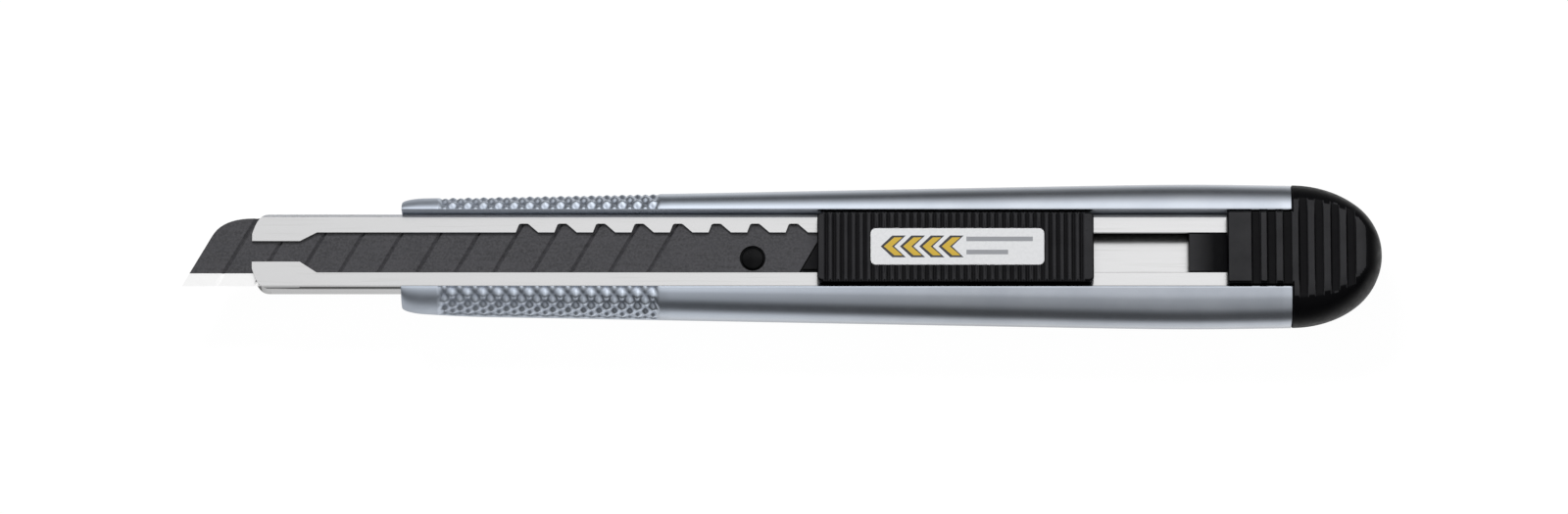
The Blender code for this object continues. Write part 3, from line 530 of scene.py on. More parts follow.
def nose_corner(side):
    """Plan outline of what the nose loses at one corner; side is 1 or -1."""
    beyond = 1.0 * MM
    curve = []
    for point in interpolate_bezier(*(Vector((*knot, 0.0)) for knot in NOSE_CORNER), 12):
        curve.append((CHANNEL_LOW.x + point.x * MM, CHANNEL_HIGH.y - point.y * MM))
    before, outside = CHANNEL_LOW.x - beyond, CHANNEL_HIGH.y + beyond
    points = [(before, curve[0][1]), *curve, (curve[-1][0], outside), (before, outside)]
    return [(x, side * y) for x, y in points]


def channel_material(face):
    """0 on the bright sheet, 1 under a lip or inside a wall, painted near-black as shade, and 2 on the bend
    beside the notched lip, painted mid-grey as its reflection and shade.
    """
    normal, centre = face.normal, face.center
    in_upper_half = centre.z > (CHANNEL_LOW.z + CHANNEL_HIGH.z) / 2
    if in_upper_half and centre.y > CHANNEL_HIGH.y - BEND_RADIUS and min(normal.y, normal.z) > 0.05:
        return 2
    if centre.x < NOSE_SLOT_END_X:
        return 0
    beyond_slot = SLOT_HALF + NOTCH_DEPTH < abs(centre.y) < CHANNEL_HIGH.y - SHEET / 2
    inside_wall = beyond_slot and abs(normal.y) > 0.5
    return int(inside_wall or (in_upper_half and normal.z < -0.5))


def make_channel(sheet, inside, painted_shade_bend):
    """The folded sheet with its notched slot, its nose cut round and a tapered hole for each rivet."""
    edge = slot_edge_points()
    rings = []
    for x, notched_half in edge:
        plain_half = notched_half if notched_half < SLOT_HALF else LOWER_SLOT_HALF
        right = [(x, y, z) for y, z in channel_half(notched_half)]
        left = [(x, -y, z) for y, z in reversed(channel_half(plain_half)[1:-1])]
        rings.append(right + left)
    channel = loft("blade_channel_sheet", rings)
    below, above = CHANNEL_LOW.z - 1.0 * MM, CHANNEL_HIGH.z + 1.0 * MM
    corners = prisms("nose_corners", [nose_corner(1), nose_corner(-1)], below, above)
    combine(channel, corners, "DIFFERENCE")
    for rivet in RIVETS:
        low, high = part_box(rivet)
        middle, radius = (low + high) / 2, (high.x - low.x) / 2
        sink = [(radius * RIVET_HOLE_SHARES[0], CHANNEL_LOW.z - 0.2 * MM)]
        sink.append((radius * RIVET_HOLE_SHARES[1], CHANNEL_LOW.z + 1.0 * MM))
        combine(channel, turned("countersink", middle, sink), "DIFFERENCE")
    place(channel, "handle", "stainless_sheet", sheet, inside, painted_shade_bend, stands_for=["blade_channel"])
    for face in channel.data.polygons:
        face.material_index = channel_material(face)
    return smooth(channel)


# ---------------------------------------------------------------- blade and stud


def leaning_x(x_at_edge, y):
    """X on a line that leans as the score lines do, from its X at the cutting edge."""
    return x_at_edge + SCORE_LEAN * (y - BLADE_LOW.y)


def point_x(y):
    """X of the blade's leading edge at y: it leans like the score lines, with a rounded back corner."""
    if y <= POINT_ROUND_START_Y:
        return leaning_x(BLADE_LOW.x, y)
    start = Vector((leaning_x(BLADE_LOW.x, POINT_ROUND_START_Y), POINT_ROUND_START_Y))
    bend_at = Vector((leaning_x(BLADE_LOW.x, BLADE_HIGH.y), BLADE_HIGH.y))
    end = Vector((POINT_ROUND_END_X, BLADE_HIGH.y))
    t = 1.0 - math.sqrt(max(0.0, (BLADE_HIGH.y - y) / (BLADE_HIGH.y - POINT_ROUND_START_Y)))
    return (start * (1 - t) ** 2 + bend_at * 2 * t * (1 - t) + end * t**2).x


def blade_rows():
    """Y of each row of the blade's surface, closer together round the point's back corner."""
    low, high, bevel_y = BLADE_LOW.y, BLADE_HIGH.y, BLADE_LOW.y + BLADE_BEVEL
    rounded = [high - (high - POINT_ROUND_START_Y) * (1.0 - i / 10) ** 2 for i in range(11)]
    return [low, bevel_y, 0.0] + rounded


def blade_ring(x_of_row, groove):
    """A closed ring over the blade's two faces; groove is how deep a score line is here."""
    top_z, low_z = BLADE_HIGH.z, BLADE_LOW.z
    middle_z, edge_half = (top_z + low_z) / 2, 0.01 * MM
    rows = blade_rows()
    top = [(x_of_row(rows[0]), rows[0], middle_z + edge_half)]
    top += [(x_of_row(y), y, top_z - groove) for y in rows[1:]]
    under = [(x_of_row(y), y, low_z) for y in reversed(rows[1:])]
    under.append((x_of_row(rows[0]), rows[0], middle_z - edge_half))
    return top + under


def make_blade(coating, ground_steel):
    rings = [blade_ring(point_x, 0.0)]
    for i in range(SEGMENT_COUNT - 1):
        for across in (-1.0, 0.0, 1.0):
            x = FIRST_SCORE_X + i * SEGMENT_PITCH + across * SCORE_HALF_WIDTH
            depth = SCORE_DEPTH if across == 0.0 else 0.0
            rings.append(blade_ring(lambda y, x=x: leaning_x(x, y), depth))
    tail_x = BLADE_HIGH.x - SCORE_LEAN * (BLADE_HIGH.y - BLADE_LOW.y)
    rings.append(blade_ring(lambda y: leaning_x(tail_x, y), 0.0))
    blade = loft("blade_strip", rings, flat_ends=False)
    centre = (STUD_LOW + STUD_HIGH) / 2
    hole = turned(
        "stud_hole", centre, [(STUD_HOLE_RADIUS, BLADE_LOW.z - MM), (STUD_HOLE_RADIUS, BLADE_HIGH.z + MM)]
    )
    combine(blade, hole, "DIFFERENCE")
    place(blade, "slider", "black_blade_steel", coating, ground_steel, stands_for=["blade"])
    bevel_y = BLADE_LOW.y + BLADE_BEVEL
    for face in blade.data.polygons:
        if max(blade.data.vertices[i].co.y for i in face.vertices) < bevel_y + 0.01 * MM:
            face.material_index = 1
    return smooth(blade, angle=3.0)


def make_stud(material):
    centre, radius = (STUD_LOW + STUD_HIGH) / 2, (STUD_HIGH.x - STUD_LOW.x) / 2
    shank, shoulder_z = radius * 0.72, BLADE_LOW.z - 0.05 * MM
    rim_z, top_z = BLADE_HIGH.z - 0.12 * MM, STUD_HIGH.z
    profile = [(shank, STUD_LOW.z), (shank, shoulder_z), (radius, shoulder_z), (radius, rim_z)]
    for i in range(1, 9):
        angle = math.pi / 2 * i / 8.4
        profile.append((radius * math.cos(angle), rim_z + (top_z - rim_z) * math.sin(angle)))
    stud = smooth(turned("blade_stud_head", centre, profile), angle=50.0)
    return place(stud, "slider", "black_blade_steel", material, stands_for=["blade_stud"])


# ---------------------------------------------------------------- thumb grip and label


def grip_top_z(x):
    """Height of the ribbed face at x: sloping ribs with narrow rounded crests, and plain borders."""
    place_in_row = (x - GRIP_FIRST_GROOVE_X) / GRIP_RIB_PITCH
    if not -0.5 < place_in_row < GRIP_RIB_COUNT - 0.5:
        return GRIP_HIGH.z
    from_crest = 0.5 - abs(place_in_row - round(place_in_row))
    rounding = GRIP_CREST_ROUNDING
    fall = math.hypot(max(0.0, from_crest - rounding), rounding) - rounding
    return GRIP_HIGH.z - GRIP_GROOVE_DEPTH * min(1.0, fall / GRIP_SLOPE)


def grip_ring(x, half, top_z, low_z):
    """Section of the thumb grip at x: flanks with a little draft, and rounded upper edges."""
    points = [(x, half - GRIP_FOOT, low_z), (x, half, low_z + GRIP_FOOT)]
    edge_y, edge_z = half - GRIP_DRAFT - GRIP_EDGE, GRIP_HIGH.z - GRIP_EDGE
    for i in range(7):
        angle = math.pi / 2 * i / 6
        z = edge_z + GRIP_EDGE * math.sin(angle)
        points.append((x, edge_y + GRIP_EDGE * math.cos(angle), min(z, top_z)))
    return points + [(x, -y, z) for x, y, z in reversed(points)]


def grip_stations():
    """X of each ring: round plan corners at both ends, and the ribs between them."""
    ends = [GRIP_CORNER * (1.0 - math.cos(math.pi / 2 * i / 6)) for i in range(7)]
    first = GRIP_FIRST_GROOVE_X - 0.5 * GRIP_RIB_PITCH
    step = GRIP_RIB_PITCH / GRIP_RIB_RINGS
    ribs = [first + step * i for i in range(GRIP_RIB_RINGS * GRIP_RIB_COUNT + 1)]
    return [GRIP_LOW.x + e for e in ends] + ribs + [GRIP_HIGH.x - e for e in reversed(ends)]


def make_grip(material):
    rings = []
    for x in grip_stations():
        into = max(0.0, 1.0 - min(x - GRIP_LOW.x, GRIP_HIGH.x - x) / GRIP_CORNER)
        inset = GRIP_CORNER * (1.0 - math.sqrt(max(0.0, 1.0 - into**2)))
        drop = GRIP_END_DROP * (1.0 - math.sqrt(max(0.0, 1.0 - into**4)))
        rings.append(grip_ring(x, GRIP_HIGH.y - inset, grip_top_z(x) - drop, GRIP_LOW.z))
    grip = loft("slider_grip_ribbed", rings)
    seat = rectangle(
        LABEL_LOW.x - LABEL_SEAT_GAP,
        LABEL_HIGH.x + LABEL_SEAT_GAP,
        LABEL_LOW.y - LABEL_SEAT_GAP,
        LABEL_HIGH.y + LABEL_SEAT_GAP,
        LABEL_CORNER + LABEL_SEAT_GAP,
    )
    combine(grip, prism("label_seat", seat, LABEL_LOW.z - LABEL_SEAT_DEPTH, GRIP_HIGH.z + MM), "DIFFERENCE")
    carrier_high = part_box("blade_carrier")[1]
    start_x, end_x = GRIP_LOW.x + NECK_ROOM_START, carrier_high.x - NECK_ROOM_GAP
    room = rectangle(start_x, end_x, -NECK_ROOM_HALF, NECK_ROOM_HALF)
    combine(grip, prism("neck_room", room, GRIP_LOW.z - MM, carrier_high.z + 0.1 * MM), "DIFFERENCE")
    mark_relief(grip, grip_top_z, GRIP_HIGH.z, GRIP_GROOVE_DEPTH)
    smooth(grip, angle=50.0)
    return place(grip, "slider", "black_plastic", material, stands_for=["slider_grip"])


def make_label(material):
    rings = []
    top_z, rim = LABEL_HIGH.z, LABEL_RIM
    for inset, z in ((0.0, LABEL_LOW.z), (0.0, top_z - rim / 2), (rim / 3, top_z - rim / 8), (rim, top_z)):
        outline = rectangle(
            LABEL_LOW.x + inset,
            LABEL_HIGH.x - inset,
            LABEL_LOW.y + inset,
            LABEL_HIGH.y - inset,
            LABEL_CORNER - inset,
        )
        rings.append([(x, y, z) for x, y in outline])
    label = smooth(loft("slider_label_plate", rings), angle=50.0)
    return place(label, "slider", "label_white", material, stands_for=["slider_label"])


def chevron(x, half_height, arm, slant):
    """Plan outline of an arrowhead stripe that points to -X."""
    return [
        (x, 0.0),
        (x + slant, half_height),
        (x + slant + arm, half_height),
        (x + arm, 0.0),
        (x + slant + arm, -half_height),
        (x + slant, -half_height),
    ]


def make_label_print(amber, charcoal, grey):
    """Slide-direction chevrons and plain rules, as a thin layer of ink."""
    top_z = LABEL_HIGH.z
    starts = [CHEVRON_START_X + i * CHEVRON_PITCH for i in range(CHEVRON_COUNT)]
    outer = [chevron(x, *CHEVRON_EDGE_SHAPE) for x in starts]
    inner = [chevron(x + CHEVRON_OUTLINE, *CHEVRON_FILL_SHAPE) for x in starts]
    rules = [rectangle(RULES_X, RULES_X + length, y - RULE_HALF, y + RULE_HALF) for y, length in RULES]
    layers = (
        ("label_chevron_edges", outer, charcoal, 1),
        ("label_chevrons", inner, amber, 2),
        ("label_rules", rules, grey, 1),
    )
    for name, outlines, ink, height in layers:
        layer = prisms(name, outlines, top_z - PRINT_HEIGHT, top_z + height * PRINT_HEIGHT)
        place(layer, "slider", "label_white", ink)


# ---------------------------------------------------------------- end cap


def cap_ceiling(x):
    """Highest the cap may be at x: its top on the lands, lower in the grooves."""
    place_in_row = (x - CAP_FIRST_GROOVE_X) / CAP_GROOVE_PITCH
    if not -0.5 < place_in_row < CAP_GROOVE_COUNT - 0.5:
        return CAP_HIGH.z
    from_middle = abs(place_in_row - round(place_in_row)) * CAP_GROOVE_PITCH
    before, side_width = CAP_GROOVE_SIDE
    rise = ease((from_middle - CAP_GROOVE_WIDTH / 2 + before) / side_width)
    return CAP_HIGH.z - CAP_GROOVE_DEPTH * (1.0 - rise)


def cap_half(along, rounding=0.0):
    """The +Y half of the dome as (y, z); along runs from 0 at the handle to 1 at the end."""
    half_width = CAP_HIGH.y * math.sqrt(1.0 - along**2) - rounding
    drop = max(0.0, (along - CAP_FLAT_SHARE) / (1.0 - CAP_FLAT_SHARE))
    height_share = math.sqrt(1.0 - drop**2)
    land = max(half_width - CAP_FLANK, 0.45 * half_width)
    top_z = WIDEST_Z + (CAP_HIGH.z - WIDEST_Z) * height_share - rounding
    back_z = WIDEST_Z + (CAP_LOW.z - WIDEST_Z) * height_share + rounding
    upper = even_quarter((land, top_z), (half_width, WIDEST_Z), 30)
    lower = even_quarter((land, back_z), (half_width, WIDEST_Z), 16)
    return [(0.0, back_z)] + lower + upper[-2::-1] + [(0.0, top_z)]


def dome_stations():
    """(x, along, rounding) of the dome's rings: close together in the grooves and towards the end."""
    length = CAP_HIGH.x - CAP_FRONT_X
    stations = []
    for angle in (0.0, 0.6, 1.1):
        stations.append((CAP_FRONT_X + CAP_SEAM * (1 - math.cos(angle)), CAP_SEAM * (1 - math.sin(angle))))
    steps = int(CAP_GROOVED_LENGTH / CAP_RING_STEP)
    stations += [(CAP_FRONT_X + CAP_SEAM + CAP_RING_STEP * i, 0.0) for i in range(steps)]
    x_done = stations[-1][0]
    start = math.asin((x_done - CAP_FRONT_X) / length)
    for i in range(1, 26):
        turn = start + (math.pi / 2 - start) * i / 25
        stations.append((CAP_FRONT_X + length * math.sin(turn), 0.0))
    return [(x, min((x - CAP_FRONT_X) / length, 0.9998), rounding) for x, rounding in stations]


def make_dome():
    rings = []
    for x, along, rounding in dome_stations():
        ceiling = cap_ceiling(x) - rounding
        half = [(y, min(z, ceiling)) for y, z in cap_half(along, rounding)]
        rings.append(mirrored_ring(half, x))
    return loft("end_cap_moulded", rings)


def make_bridge():
    """The part of the cap over the channel, with the same grooves."""
    low_z, radius = GRIP_LOW.z, BRIDGE_EDGE
    rings = []
    steps = round((CAP_FRONT_X + 0.4 * MM - BRIDGE_FRONT_X) / CAP_RING_STEP)
    for i in range(steps + 1):
        x = BRIDGE_FRONT_X + CAP_RING_STEP * i
        into = max(0.0, 1.0 - (x - BRIDGE_FRONT_X) / radius)
        drop = radius * (1.0 - math.sqrt(1.0 - into**2))
        ceiling = cap_ceiling(x) - BRIDGE_SEAM - drop
        points = [(0.0, low_z), (BRIDGE_HALF - drop, low_z)]
        half, edge = BRIDGE_HALF - BRIDGE_DRAFT - drop, CAP_HIGH.z - BRIDGE_SEAM
        for j in range(7):
            angle = math.pi / 2 * j / 6
            y = half - radius + radius * math.cos(angle)
            points.append((y, min(edge - radius + radius * math.sin(angle), ceiling)))
        points.append((0.0, ceiling))
        rings.append(mirrored_ring(points, x))
    return loft("cap_bridge", rings)


def make_cap(material):
    cap = make_dome()
    inside = CAP_FRONT_X + 2.0 * MM
    gap = 0.1 * MM
    low_y, high_y = gap - LOWER_SLOT_HALF, SLOT_HALF - gap
    channel_floor = CHANNEL_LOW.z + SHEET + CAP_FIT
    tongue = prism(
        "tongue", rectangle(CAP_LOW.x, inside, low_y, high_y), channel_floor, CHANNEL_HIGH.z - 0.02 * MM
    )
    web = prism(
        "web",
        rectangle(BRIDGE_FRONT_X + 0.15 * MM, inside, low_y + 0.03 * MM, high_y - 0.03 * MM),
        channel_floor + 0.3 * MM,
        GRIP_LOW.z + MM,
    )
    plug_half = CAVITY_HALF - CAP_FIT
    plug = prism(
        "plug",
        rectangle(PLUG_FRONT_X, inside, -plug_half, plug_half),
        CAVITY_FLOOR_Z + CAP_FIT,
        LEDGE_Z - CAP_FIT,
    )
    soften_edges(tongue, 0.1 * MM)
    soften_edges(plug, 0.35 * MM, segments=3)
    for part in (make_bridge(), tongue, web, plug):
        combine(cap, part, "UNION")
    slit_plan = rectangle(SNAP_SLIT_FRONT_X, CAP_HIGH.x + 4.0 * MM, -SNAP_SLIT_HALF, SNAP_SLIT_HALF, 0.4 * MM)
    combine(cap, prism("slit", slit_plan, *SNAP_SLIT_Z), "DIFFERENCE")
    mark_relief(cap, cap_ceiling, CAP_HIGH.z, CAP_GROOVE_DEPTH)
    smooth(cap, angle=38.0)
    return place(cap, "end_cap", "black_plastic", material, stands_for=["end_cap"])


# ---------------------------------------------------------------- materials


class Nodes:
    """A material's node tree, with short calls for the nodes used here."""

    def __init__(self, name, colour, roughness, metallic=0.0, specular=0.5):
        self.material = bpy.data.materials.new(name)
        self.material.use_nodes = True
        self.tree = self.material.node_tree
        self.shader = self.tree.nodes["Principled BSDF"]
        self.shader.inputs["Base Color"].default_value = (*colour, 1.0)
        self.shader.inputs["Roughness"].default_value = roughness
        self.shader.inputs["Metallic"].default_value = metallic
        self.shader.inputs["Specular IOR Level"].default_value = specular
        self.place = self.tree.nodes.new("ShaderNodeTexCoord").outputs["Object"]

    def link(self, output, socket):
        self.tree.links.new(output, socket)

    def stretched(self, scale):
        mapping = self.tree.nodes.new("ShaderNodeMapping")
        mapping.inputs["Scale"].default_value = scale
        self.link(self.place, mapping.inputs["Vector"])
        return mapping.outputs["Vector"]

    def noise(self, size, stretch=(1.0, 1.0, 1.0), detail=3.0, roughness=0.55):
        """Noise with features of that size in metres; stretch divides the pattern's scale along each axis."""
        node = self.tree.nodes.new("ShaderNodeTexNoise")
        scale = 1.0 / size
        node.inputs["Scale"].default_value = 1.0
        node.inputs["Detail"].default_value = detail
        node.inputs["Roughness"].default_value = roughness
        self.link(self.stretched([scale / s for s in stretch]), node.inputs["Vector"])
        return node.outputs["Fac"]

    def along_x(self):
        node = self.tree.nodes.new("ShaderNodeSeparateXYZ")
        self.link(self.place, node.inputs["Vector"])
        return node.outputs["X"]

    def attribute(self, name):
        node = self.tree.nodes.new("ShaderNodeAttribute")
        node.attribute_name = name
        return node.outputs["Fac"]

    def remap(self, value, low, high, to_low, to_high):
        node = self.tree.nodes.new("ShaderNodeMapRange")
        node.clamp = True
        for socket, number in zip(("From Min", "From Max", "To Min", "To Max"), (low, high, to_low, to_high)):
            node.inputs[socket].default_value = number
        self.link(value, node.inputs["Value"])
        return node.outputs["Result"]

    def product(self, first, second):
        node = self.tree.nodes.new("ShaderNodeMath")
        node.operation = "MULTIPLY"
        self.link(first, node.inputs[0])
        self.link(second, node.inputs[1])
        return node.outputs[0]

    def blend(self, factor, first, second):
        """A colour between first and second, by a factor from 0 to 1."""
        node = self.tree.nodes.new("ShaderNodeMix")
        node.data_type = "RGBA"
        for socket, colour in ((node.inputs[6], first), (node.inputs[7], second)):
            if isinstance(colour, bpy.types.NodeSocket):
                self.link(colour, socket)
            else:
                socket.default_value = (*colour, 1.0)
        self.link(factor, node.inputs["Factor"])
        return node.outputs[2]

    def bump(self, height, distance, strength=1.0, under=None):
        node = self.tree.nodes.new("ShaderNodeBump")
        node.inputs["Distance"].default_value = distance
        node.inputs["Strength"].default_value = strength
        self.link(height, node.inputs["Height"])
        if under is not None:
            self.link(under, node.inputs["Normal"])
        return node.outputs["Normal"]

    def colour(self, output):
        self.link(output, self.shader.inputs["Base Color"])

    def roughness(self, output):
        self.link(output, self.shader.inputs["Roughness"])

    def normal(self, output):
        self.link(output, self.shader.inputs["Normal"])


def cast_aluminium():
    """Satin die-cast alloy: matt round the knurl, smoother behind it, darker in the knurl's valleys than on
    its tips, and painted lighter and bluer towards the front as painted light.
    """
    m = Nodes("cast_aluminium_satin", (0.44, 0.465, 0.505), 0.24, metallic=1.0)
    blotches = m.remap(m.noise(5.0 * MM, detail=2.0), 0.35, 0.65, 0.0, 1.0)
    alloy = m.blend(blotches, (0.42, 0.452, 0.505), (0.455, 0.487, 0.54))
    blasted = m.remap(m.along_x(), KNURL_START_X, KNURL_END_X + 5.0 * MM, 1.0, 0.0)
    # Painted light: up to the knurl's end the handle is painted lighter and bluer, and this fades out over 40
    # mm behind it
    paler = m.remap(m.along_x(), KNURL_END_X, KNURL_END_X + 40.0 * MM, 1.0, 0.0)
    alloy = m.blend(paler, alloy, (0.56, 0.615, 0.7))
    # The knurl's valleys keep a darker colour than its tips, which take the painted lighter front colour
    valleys = m.remap(m.attribute("relief"), 0.0, 0.7, 0.0, 1.0)
    m.colour(m.blend(valleys, (0.45, 0.5, 0.59), alloy))
    satin = m.remap(blasted, 0.0, 1.0, 0.23, 0.44)
    m.roughness(m.product(satin, m.remap(m.noise(1.2 * MM), 0.3, 0.7, 0.92, 1.08)))
    grain = m.bump(m.noise(0.12 * MM, detail=4.0), 0.002 * MM, 0.35)
    m.normal(m.bump(m.noise(2.2 * MM, stretch=(4.0, 1.0, 1.0)), 0.006 * MM, 0.3, under=grain))
    return m.material


def stainless_sheet():
    """Cold-rolled stainless sheet, drawn lengthwise: fine lines along X and a few slide marks."""
    m = Nodes("stainless_sheet_drawn", (0.56, 0.56, 0.56), 0.2, metallic=1.0)
    lines = m.noise(0.09 * MM, stretch=(60.0, 1.0, 1.0), detail=4.0)
    marks = m.remap(m.noise(0.35 * MM, stretch=(40.0, 1.0, 1.0), detail=2.0), 0.58, 0.74, 0.0, 1.0)
    m.colour(m.blend(marks, (0.565, 0.565, 0.57), (0.53, 0.53, 0.53)))
    m.roughness(m.remap(lines, 0.3, 0.7, 0.16, 0.22))
    m.normal(m.bump(lines, 0.002 * MM, 0.4))
    return m.material


def blade_coating():
    """Black-oxide blade face: dark steel with a fine speckle, rolling lines and slide marks."""
    m = Nodes("blade_black_oxide", (0.05, 0.05, 0.055), 0.36, metallic=0.3, specular=0.3)
    speckle = m.remap(m.noise(0.3 * MM, detail=4.0, roughness=0.7), 0.38, 0.62, 0.0, 1.0)
    rolling = m.remap(m.noise(0.4 * MM, stretch=(14.0, 1.0, 1.0), detail=3.0), 0.4, 0.62, 0.0, 1.0)
    clouds = m.remap(m.noise(3.5 * MM, detail=3.0), 0.35, 0.65, 0.0, 1.0)
    base = m.blend(clouds, (0.036, 0.037, 0.041), (0.056, 0.055, 0.061))
    rolled = m.blend(rolling, (0.034, 0.034, 0.037), base)
    m.colour(m.blend(speckle, rolled, (0.064, 0.063, 0.069)))
    m.roughness(m.remap(rolling, 0.0, 1.0, 0.28, 0.44))
    m.normal(m.bump(m.noise(0.14 * MM, stretch=(3.0, 1.0, 1.0)), 0.004 * MM, 0.5))
    return m.material


def ground_steel():
    """The bright ground bevel: grinding lines run across the cutting edge."""
    m = Nodes("blade_ground_edge", (0.95, 0.95, 0.95), 0.22, metallic=1.0)
    lines = m.noise(0.05 * MM, stretch=(1.0, 30.0, 1.0), detail=3.0)
    m.colour(m.blend(lines, (0.9, 0.9, 0.9), (0.98, 0.98, 0.98)))
    m.roughness(m.remap(lines, 0.3, 0.7, 0.34, 0.46))
    m.normal(m.bump(lines, 0.002 * MM, 0.5))
    return m.material


def moulded_plastic(name, colour, wear_and_sheen, roughness, specular, ribbed=False):
    """Moulded plastic or a like matt finish: spark-eroded texture and lighter patches of wear; when ribbed,
    only crests and top faces are lighter, partly as wear and partly as painted sheen, and grooves stay dark
    as painted shade.
    """
    m = Nodes(name, colour, roughness, specular=specular)
    pale_wear_and_sheen = m.remap(m.noise(4.0 * MM, detail=3.0), 0.3, 0.7, 0.0 if ribbed else 0.3, 1.0)
    # Painted sheen and shade: the lighter colour is kept to the crests, and the grooves and flanks stay dark
    if ribbed:
        crests = m.remap(m.attribute("relief"), 0.35, 0.95, 0.0, 1.0)
        pale_wear_and_sheen = m.product(crests, m.remap(pale_wear_and_sheen, 0.0, 1.0, 0.7, 1.0))
    m.colour(m.blend(pale_wear_and_sheen, colour, wear_and_sheen))
    m.roughness(m.remap(m.noise(0.8 * MM), 0.3, 0.7, roughness - 0.06, roughness + 0.08))
    m.normal(m.bump(m.noise(0.1 * MM, detail=3.0), 0.006 * MM, 0.6))
    return m.material


def plain_steel(name, colour, roughness):
    """Turned or rolled steel, for the rivets, the pins, the spring and the channel's inside, painted
    near-black as shade.
    """
    m = Nodes(name, colour, roughness, metallic=1.0)
    tint = m.noise(0.6 * MM)
    m.colour(m.blend(tint, [c * 0.85 for c in colour], colour))
    m.roughness(m.remap(m.noise(0.2 * MM), 0.3, 0.7, roughness - 0.05, roughness + 0.08))
    m.normal(m.bump(m.noise(0.08 * MM, stretch=(4.0, 1.0, 1.0)), 0.003 * MM, 0.5))
    return m.material


def label_white():
    """Glossy white label under a clear film, very slightly cool, with a faint orange peel."""
    m = Nodes("label_white_film", (0.85, 0.86, 0.88), 0.28)
    m.shader.inputs["Coat Weight"].default_value = 0.6
    m.shader.inputs["Coat Roughness"].default_value = 0.08
    m.colour(m.blend(m.noise(1.6 * MM), (0.84, 0.85, 0.875), (0.87, 0.88, 0.895)))
    m.roughness(m.remap(m.noise(0.5 * MM), 0.3, 0.7, 0.22, 0.34))
    m.normal(m.bump(m.noise(0.7 * MM), 0.004 * MM, 0.4))
    return m.material


def ink(name, colour):
    m = Nodes(name, colour, 0.35)
    m.colour(m.blend(m.noise(0.15 * MM), [c * 0.85 for c in colour], colour))
    m.roughness(m.remap(m.noise(0.3 * MM), 0.3, 0.7, 0.28, 0.42))
    return m.material


# ---------------------------------------------------------------- studio

FRAME_WIDTH = 203.3 * MM
LENS, SENSOR = 250.0, 36.0
CAMERA_ELEVATION = math.radians(76.0)

# The studio's brightness by the angle in degrees from overhead towards +Y: long strips along X
STRIPS = (
    (-180, 0.6),
    (-165, 0.95),
    (-141, 0.95),
    (-131, 0.65),
    (-123, 0.3),
    (-115, 0.13),
    (-94, 0.11),
    (-84, 0.22),
    (-71, 0.44),
    (-50, 0.56),
    (-38, 0.6),
    (-28, 0.85),
    (-19, 0.96),
    (4, 0.96),
    (10, 1.15),
    (20, 1.7),
    (34, 1.7),
    (45, 1.5),
    (54, 1.1),
    (64, 0.74),
    (73, 0.42),
    (83, 0.2),
    (94, 0.13),
    (105, 0.25),
    (117, 0.5),
    (132, 0.9),
    (165, 1.0),
    (180, 0.6),
)


def make_camera():
    data = bpy.data.cameras.new("camera")
    data.lens, data.sensor_width = LENS, SENSOR
    camera = bpy.data.objects.new("camera", data)
    bpy.context.scene.collection.objects.link(camera)
    target = Vector((0.19 * MM, -0.77 * MM, CHANNEL_HIGH.z))
    back = Vector((0.0, -math.cos(CAMERA_ELEVATION), math.sin(CAMERA_ELEVATION)))
    camera.location = target + back * (FRAME_WIDTH * LENS / SENSOR)
    camera.rotation_euler = (-back).to_track_quat("-Z", "Y").to_euler()
    data.clip_start, data.clip_end = 0.05, 10.0
    bpy.context.scene.camera = camera


def make_floor():
    """White paper that the metal doesn't mirror, so that the rails show the studio's strips."""
    bm = bmesh.new()
    bmesh.ops.create_grid(bm, x_segments=1, y_segments=1, size=3.0)
    mesh = bpy.data.meshes.new("floor")
    bm.to_mesh(mesh)
    bm.free()
    floor = mesh_object("floor", mesh)
    paper = bpy.data.materials.new("floor_paper")
    paper.use_nodes = True
    shader = paper.node_tree.nodes["Principled BSDF"]
    shader.inputs["Base Color"].default_value = (0.05, 0.05, 0.05, 1.0)
    shader.inputs["Roughness"].default_value = 0.9
    shader.inputs["Specular IOR Level"].default_value = 0.0
    shader.inputs["Emission Color"].default_value = (1.0, 1.0, 1.0, 1.0)
    shader.inputs["Emission Strength"].default_value = 0.98
    mesh.materials.append(paper)
    floor.visible_glossy = False


def make_world():
    """What the metal mirrors: the strips, fading towards both ends and a little brighter towards +X."""
    world = bpy.data.worlds.new("studio")
    bpy.context.scene.world = world
    world.use_nodes = True
    world.cycles_visibility.diffuse = False
    tree = world.node_tree

    def node(kind, *inputs, **settings):
        made = tree.nodes.new(kind)
        for name, value in settings.items():
            setattr(made, name, value)
        for socket, value in zip(made.inputs, inputs):
            if isinstance(value, bpy.types.NodeSocket):
                tree.links.new(value, socket)
            else:
                socket.default_value = value
        return made.outputs[0]

    direction = tree.nodes.new("ShaderNodeTexCoord").outputs["Generated"]
    axes = node("ShaderNodeSeparateXYZ", direction).node.outputs
    angle = node("ShaderNodeMath", axes["Y"], axes["Z"], operation="ARCTAN2")
    turn = node("ShaderNodeMapRange", angle, -math.pi, math.pi, 0.0, 1.0)
    strips = node("ShaderNodeValToRGB", turn)
    elements = strips.node.color_ramp.elements
    while len(elements) < len(STRIPS):
        elements.new(0.5)
    for element, (degrees, value) in zip(elements, STRIPS):
        element.position = degrees / 360.0 + 0.5
        element.color = (value, value, value, 1.0)
    slope = node("ShaderNodeMapRange", axes["X"], -0.05, 0.05, 0.77, 1.1)
    away = node("ShaderNodeMath", axes["X"], operation="ABSOLUTE")
    ends = node("ShaderNodeMapRange", away, 0.6, 0.98, 1.0, 0.35)
    background = tree.nodes["Background"]
    tree.links.new(strips, background.inputs["Color"])
    tree.links.new(node("ShaderNodeMath", slope, ends, operation="MULTIPLY"), background.inputs["Strength"])


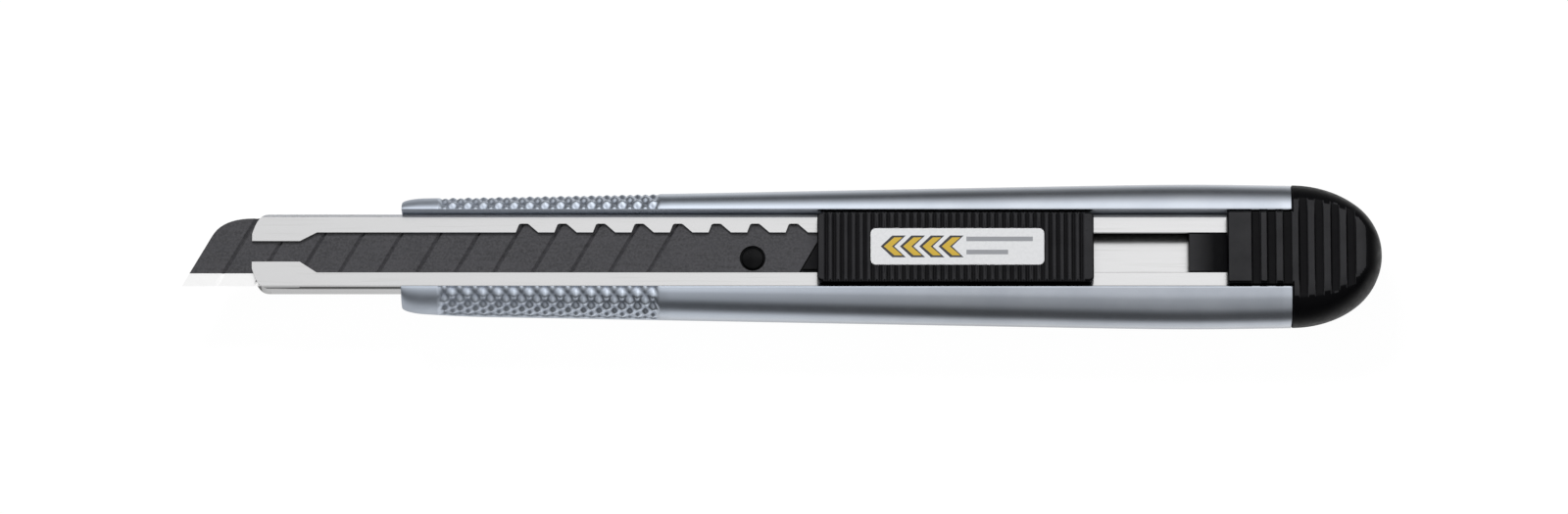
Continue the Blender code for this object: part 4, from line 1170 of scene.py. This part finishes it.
def make_softbox(name, location, size, energy):
    """A soft light aimed at the knife; the metal mirrors the studio's strips instead of it."""
    data = bpy.data.lights.new(name, "AREA")
    data.shape = "RECTANGLE"
    data.size, data.size_y = size
    data.energy = energy
    light = bpy.data.objects.new(name, data)
    light.location = location
    light.rotation_euler = (-Vector(location)).to_track_quat("-Z", "Y").to_euler()
    light.visible_glossy = False
    bpy.context.scene.collection.objects.link(light)


def make_studio():
    make_camera()
    make_floor()
    make_world()
    make_softbox("softbox_beyond", (-0.12, 0.3, 0.42), (0.2, 0.08), 2.0)
    make_softbox("softbox_overhead", (0.0, -0.1, 0.6), (0.6, 0.6), 1.1)
    bpy.context.scene.view_settings.view_transform = "Standard"


# ---------------------------------------------------------------- the knife


def finish_cad_nodes(material, *nodes):
    """A better material on CAD nodes that stay."""
    for node in nodes:
        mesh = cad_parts[node].data
        mesh.materials.clear()
        mesh.materials.append(material)


def make_knife():
    deep_black, dark = (0.001, 0.001, 0.0015), (0.002, 0.002, 0.0025)
    grip_wear_and_sheen, cap_wear_and_sheen = (0.034, 0.034, 0.037), (0.042, 0.042, 0.045)
    grip_black = moulded_plastic("grip_black_plastic", deep_black, grip_wear_and_sheen, 0.32, 0.1, ribbed=True)
    cap_black = moulded_plastic("cap_black_plastic", deep_black, cap_wear_and_sheen, 0.4, 0.07, ribbed=True)
    carriage = moulded_plastic("carriage_black_plastic", dark, (0.004, 0.004, 0.005), 0.4, 0.12)
    bright = plain_steel("rivet_bright_steel", (0.66, 0.66, 0.66), 0.26)
    make_handle(cast_aluminium())
    sheet = stainless_sheet()
    # Painted shade, not bright like the rest of the sheet: a near-black inside, and a matt grey bend beside
    # the notched lip that stands in for the mid-grey reflection and shade there
    inside = plain_steel("channel_inside_painted_shade", (0.02, 0.02, 0.02), 0.5)
    painted_shade_bend = moulded_plastic("channel_bend_painted_shade", (0.36, 0.37, 0.39), (0.42, 0.43, 0.45), 0.5, 0.3)
    make_channel(sheet, inside, painted_shade_bend)
    make_blade(blade_coating(), ground_steel())
    make_stud(moulded_plastic("stud_black_gloss", (0.0015, 0.0015, 0.002), (0.003, 0.003, 0.0035), 0.2, 0.08))
    make_grip(grip_black)
    make_label(label_white())
    make_label_print(
        ink("ink_amber", (0.75, 0.5, 0.04)),
        ink("ink_charcoal", (0.03, 0.03, 0.035)),
        ink("ink_grey", (0.36, 0.37, 0.4)),
    )
    make_cap(cap_black)
    finish_cad_nodes(bright, *RIVETS, "grip_pin_front", "grip_pin_rear")
    finish_cad_nodes(carriage, "blade_carrier")
    finish_cad_nodes(plain_steel("spring_steel_strip", (0.58, 0.57, 0.54), 0.22), "lock_spring")


make_knife()
make_studio()
